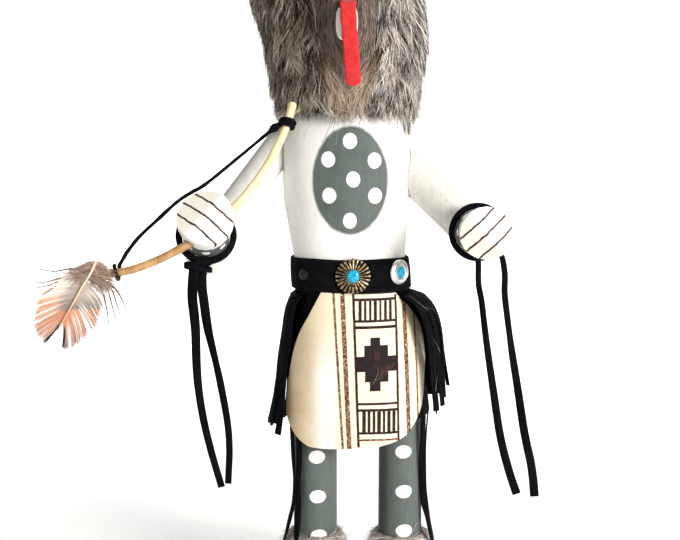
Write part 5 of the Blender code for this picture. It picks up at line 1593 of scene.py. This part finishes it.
def boss(spot, radii, heights, sides=96):
    """A turned ornament. radii and heights are for each station, from its back to its top."""
    place, normal, level = spot
    turn = circle(sides)
    ring = np.cos(turn)[:, None] * level + np.sin(turn)[:, None] * np.cross(normal, level)
    rings = []
    for r, h in zip(radii, heights):
        reach, rise = (np.broadcast_to(v, (sides,))[:, None] for v in (r, h))
        rings.append(place + ring * reach + normal * rise)
    return skin(rings)


# Share of the radius, height, and how deep the flutes and the petals are cut
FLOWER_STEPS = [
    (0.96, 0.0, 0, 0.10), (1.0, 0.00030, 0, 0.10), (1.0, 0.00055, 0.3, 0.10), (0.96, 0.00085, 0.8, 0.09),
    (0.88, 0.00105, 1.0, 0.06), (0.76, 0.00122, 1.0, 0.03), (0.64, 0.00134, 1.0, 0.01),
    (0.52, 0.00142, 0.9, 0.0), (0.42, 0.00148, 0.6, 0), (0.38, 0.00150, 0, 0), (0.34, 0.00140, 0, 0),
    (0.05, 0.00140, 0, 0),
]
# Share of the radius, and height
ROUND_STEPS = [
    (0.98, 0.0), (1.0, 0.0002), (1.0, 0.0005), (0.965, 0.0007), (0.93, 0.0006), (0.90, 0.0007),
    (0.78, 0.0011), (0.64, 0.00134), (0.58, 0.00136), (0.55, 0.00120), (0.52, 0.00145), (0.49, 0.00155),
    (0.46, 0.00140), (0.30, 0.00138), (0.05, 0.00138),
]
BUTTON_STEPS = [
    (0.96, 0.0), (1.0, 0.1), (1.0, 0.22), (0.95, 0.34), (0.88, 0.40), (0.84, 0.36), (0.78, 0.44),
    (0.68, 0.66), (0.52, 0.84), (0.34, 0.95), (0.15, 1.0), (0.03, 1.01),
]


def make_flower_concho(brass, stone):
    """A fluted concho of 24 petals with an oval stone."""
    spot = belt_place(0.02, 0.1757, GAP)
    sides = 24 * 8
    petal = np.abs(np.cos(12 * circle(sides))) ** 0.6
    radii = [0.0086 * share * (1 - wave * (1 - petal)) for share, _, _, wave in FLOWER_STEPS]
    heights = [height - 0.00055 * flute * (1 - petal) for _, height, flute, _ in FLOWER_STEPS]
    shape = boss(spot, radii, heights, sides)
    piece("flower_concho_cast", shape, brass, "flower_concho", 60)
    make_stone("flower", spot, 0.00142, 0.0031, 0.0032, 0.0016, stone)


def make_stone(word, spot, out, half_level, half_up, high, stone):
    """A domed oval stone, out from the ornament's foot."""
    place, normal, level = spot
    t = np.linspace(0, math.pi / 2, 12)
    turn = circle(40)
    oval = 1 / np.sqrt((np.cos(turn) / half_level) ** 2 + (np.sin(turn) / half_up) ** 2)
    radii = [oval * 0.98] + [oval * max(math.cos(a) ** 0.75, 0.03) for a in t]
    heights = [-0.0001] + [high * math.sin(a) for a in t]
    shape = boss((place + normal * out, normal, level), radii, heights, 40)
    piece(word + "_stone_cut", shape, stone, word + "_stone")


def make_round_concho(silver, stone):
    """A smooth concho with a roped edge round its stone."""
    spot = belt_place(math.radians(48), 0.1768, GAP)
    rope = 1 + 0.02 * np.cos(24 * circle(96))
    radii = [0.0061 * share * (rope if 0.45 < share < 0.53 else 1.0) for share, _ in ROUND_STEPS]
    shape = boss(spot, radii, [height for _, height in ROUND_STEPS])
    piece("round_concho_cast", shape, silver, "round_concho", 60)
    make_stone("round", spot, 0.0014, 0.0026, 0.0029, 0.0015, stone)


def make_button(metal):
    spot = belt_place(math.radians(-46), 0.1756, GAP)
    radii = [0.0027 * share for share, _ in BUTTON_STEPS]
    heights = [0.0018 * share for _, share in BUTTON_STEPS]
    piece("belt_button_dome", boss(spot, radii, heights, 48), metal, "belt_button")


def old_brass():
    look = Look("old_brass")
    place = look.place
    tarnish = noise(place, 700.0, 4.0, 0.65)
    scratch = noise(place, 3200.0, 2.0)
    colour = ramp(tarnish, [(0.35, rgb(60, 48, 36)), (0.5, rgb(134, 114, 86)), (0.66, rgb(206, 186, 152))])
    around = look.along()[0]
    ridge = abs(calc("COSINE", around * (24 * math.pi * 191 / 192)))
    colour = mix(step(ridge, 0.84, 0.42), colour, rgb(10, 8, 7))
    rough = node("MapRange", (tarnish, 0.3, 0.7, 0.55, 0.32))[0]
    return look.done(colour, rough, scratch, 0.00005, 0.4, Metallic=1.0)


def bright_silver():
    look = Look("bright_silver")
    place = look.place
    scratch = noise(place, 2400.0, 3.0)
    colour = mix(step(noise(place, 500.0), 0.3, 0.6), rgb(206, 203, 200), rgb(240, 239, 237))
    rough = node("MapRange", (scratch, 0.3, 0.7, 0.22, 0.34))[0]
    return look.done(colour, rough, scratch, 0.00004, 0.3, Metallic=1.0)


def turquoise():
    look = Look("turquoise")
    place = look.place
    veins = node("TexVoronoi", {"Vector": place, "Scale": 620.0}, feature="DISTANCE_TO_EDGE")[0]
    cloud = noise(place, 520.0, 4.0, 0.6)
    colour = mix(step(cloud, 0.35, 0.68), rgb(0, 142, 184), rgb(34, 192, 230))
    colour = mix(step(veins, 0.028, 0.006), colour, rgb(30, 92, 108))
    return look.done(colour, 0.22, Coat_Weight=0.3)


def black_metal():
    look = Look("black_metal")
    place = look.place
    scratch = noise(place, 1800.0, 3.0)
    colour = mix(scratch, rgb(8, 8, 10), rgb(20, 20, 23))
    return look.done(colour, 0.42, scratch, 0.00004, 0.3, Specular_IOR_Level=0.3)


# Room


def make_room():
    """A plain pale floor that sweeps up into a backdrop."""
    look = Look("studio_floor")
    place = look.place
    grain = noise(place, 60.0, 3.0)
    floor = look.done(mix(grain, rgb(248, 248, 247), rgb(252, 252, 251)), 0.9)
    profile = [(-1.6, 0.0), (0.9, 0.0)]
    profile += [(0.9 + 0.5 * math.sin(a), 0.5 - 0.5 * math.cos(a)) for a in np.linspace(0.1, math.pi / 2, 12)]
    profile += [(1.4, 2.2)]
    verts = [(x, y, z) for y, z in profile for x in (-2.6, 2.6)]
    faces = [[2 * i, 2 * i + 1, 2 * i + 3, 2 * i + 2] for i in range(len(profile) - 1)]
    mesh = bpy.data.meshes.new("studio_floor")
    mesh.from_pydata(verts, [], faces)
    mesh.shade_smooth()
    mesh.materials.append(floor)
    o = bpy.data.objects.new("studio_floor", mesh)
    bpy.context.scene.collection.objects.link(o)


# Each fur's colours at its roots, middles and tips, for the darkest and the palest hair. cool is the
# same for the far side, where the pelt is greyer. depth is the strength of painted shade on random patches.
FURS = {
    "ruff_fur": {
        "roots": (rgb(12, 8, 7), rgb(44, 33, 27)),
        "middles": (rgb(44, 31, 23), rgb(154, 128, 100)),
        "tips": (rgb(86, 65, 47), rgb(255, 244, 222)),
        "cool": (
            (rgb(12, 8, 8), rgb(48, 38, 37)), (rgb(46, 36, 35), rgb(134, 117, 109)),
            (rgb(84, 69, 63), rgb(252, 242, 233)),
        ),
        "depth": 0.58,
    },
    "ruff_wool": {
        "roots": (rgb(9, 6, 5), rgb(32, 23, 19)),
        "middles": (rgb(28, 20, 16), rgb(76, 59, 48)),
        "tips": (rgb(46, 35, 28), rgb(118, 97, 81)),
        "cool": (
            (rgb(10, 7, 7), rgb(34, 26, 25)), (rgb(30, 23, 23), rgb(76, 63, 59)),
            (rgb(46, 36, 34), rgb(108, 92, 85)),
        ),
        "depth": 0.72,
    },
    "ruff_frost": {
        "roots": (rgb(36, 27, 22), rgb(108, 93, 84)),
        "middles": (rgb(120, 98, 79), rgb(208, 194, 179)),
        "tips": (rgb(188, 166, 142), rgb(255, 249, 240)),
        "depth": 0.25,
    },
    "ruff_parting": {
        "roots": (rgb(28, 21, 23), rgb(64, 53, 54)),
        "middles": (rgb(50, 40, 43), rgb(98, 83, 82)),
        "tips": (rgb(70, 58, 59), rgb(164, 146, 132)),
    },
    "ruff_sweep": {
        "roots": (rgb(28, 20, 17), rgb(74, 59, 50)),
        "middles": (rgb(54, 41, 33), rgb(132, 112, 93)),
        "tips": (rgb(92, 73, 58), rgb(216, 196, 172)),
    },
    "ankle_fur": {
        "roots": (rgb(140, 126, 116), rgb(180, 172, 164)),
        "middles": (rgb(178, 166, 156), rgb(214, 208, 202)),
        "tips": (rgb(200, 190, 182), rgb(246, 244, 240)),
    },
}


def dress():
    set_camera()
    suede = black_suede()
    make_lace_ends(suede)
    make_wrist_laces(suede)
    paint_wooden_parts()
    make_skirt(suede)
    make_belt(suede)
    make_apron(cream_leather())
    for word in HIP_FRINGES:
        make_hip_fringe(word, suede, CHANCE)
    for word in LEG_STRIPS:
        make_leg_fringe(word, suede)
    make_bow(pale_reed(), suede, CHANCE)
    down = down_look("feather_down", rgb(92, 66, 52), rgb(208, 180, 158))
    make_feather(vane_look(), down, quill_look(), CHANCE)
    stone = turquoise()
    make_flower_concho(old_brass(), stone)
    make_round_concho(bright_silver(), stone)
    make_button(black_metal())
    make_tongue(red_felt(), down_look("felt_fibre", rgb(190, 24, 28), rgb(236, 70, 64)), CHANCE)
    fur = {name: fur_look(name, **colours) for name, colours in FURS.items()}
    hide = hide_look("ruff_hide", rgb(16, 12, 11), rgb(46, 36, 32))
    make_ruff(fur["ruff_fur"], fur["ruff_wool"], fur["ruff_frost"], hide, CHANCE)
    make_parting(fur["ruff_parting"], CHANCE)
    make_sweep(fur["ruff_sweep"], CHANCE)
    make_loose_hairs(fur["ruff_fur"], CHANCE)
    make_stray_hairs(fur["ruff_frost"])
    under = hide_look("ankle_hide", rgb(120, 108, 100), rgb(176, 166, 158))
    make_ankle_fur("right", -LEG_X, fur["ankle_fur"], under, CHANCE)
    make_ankle_fur("left", LEG_X, fur["ankle_fur"], under, CHANCE)
    light_studio()
    make_room()


dress()
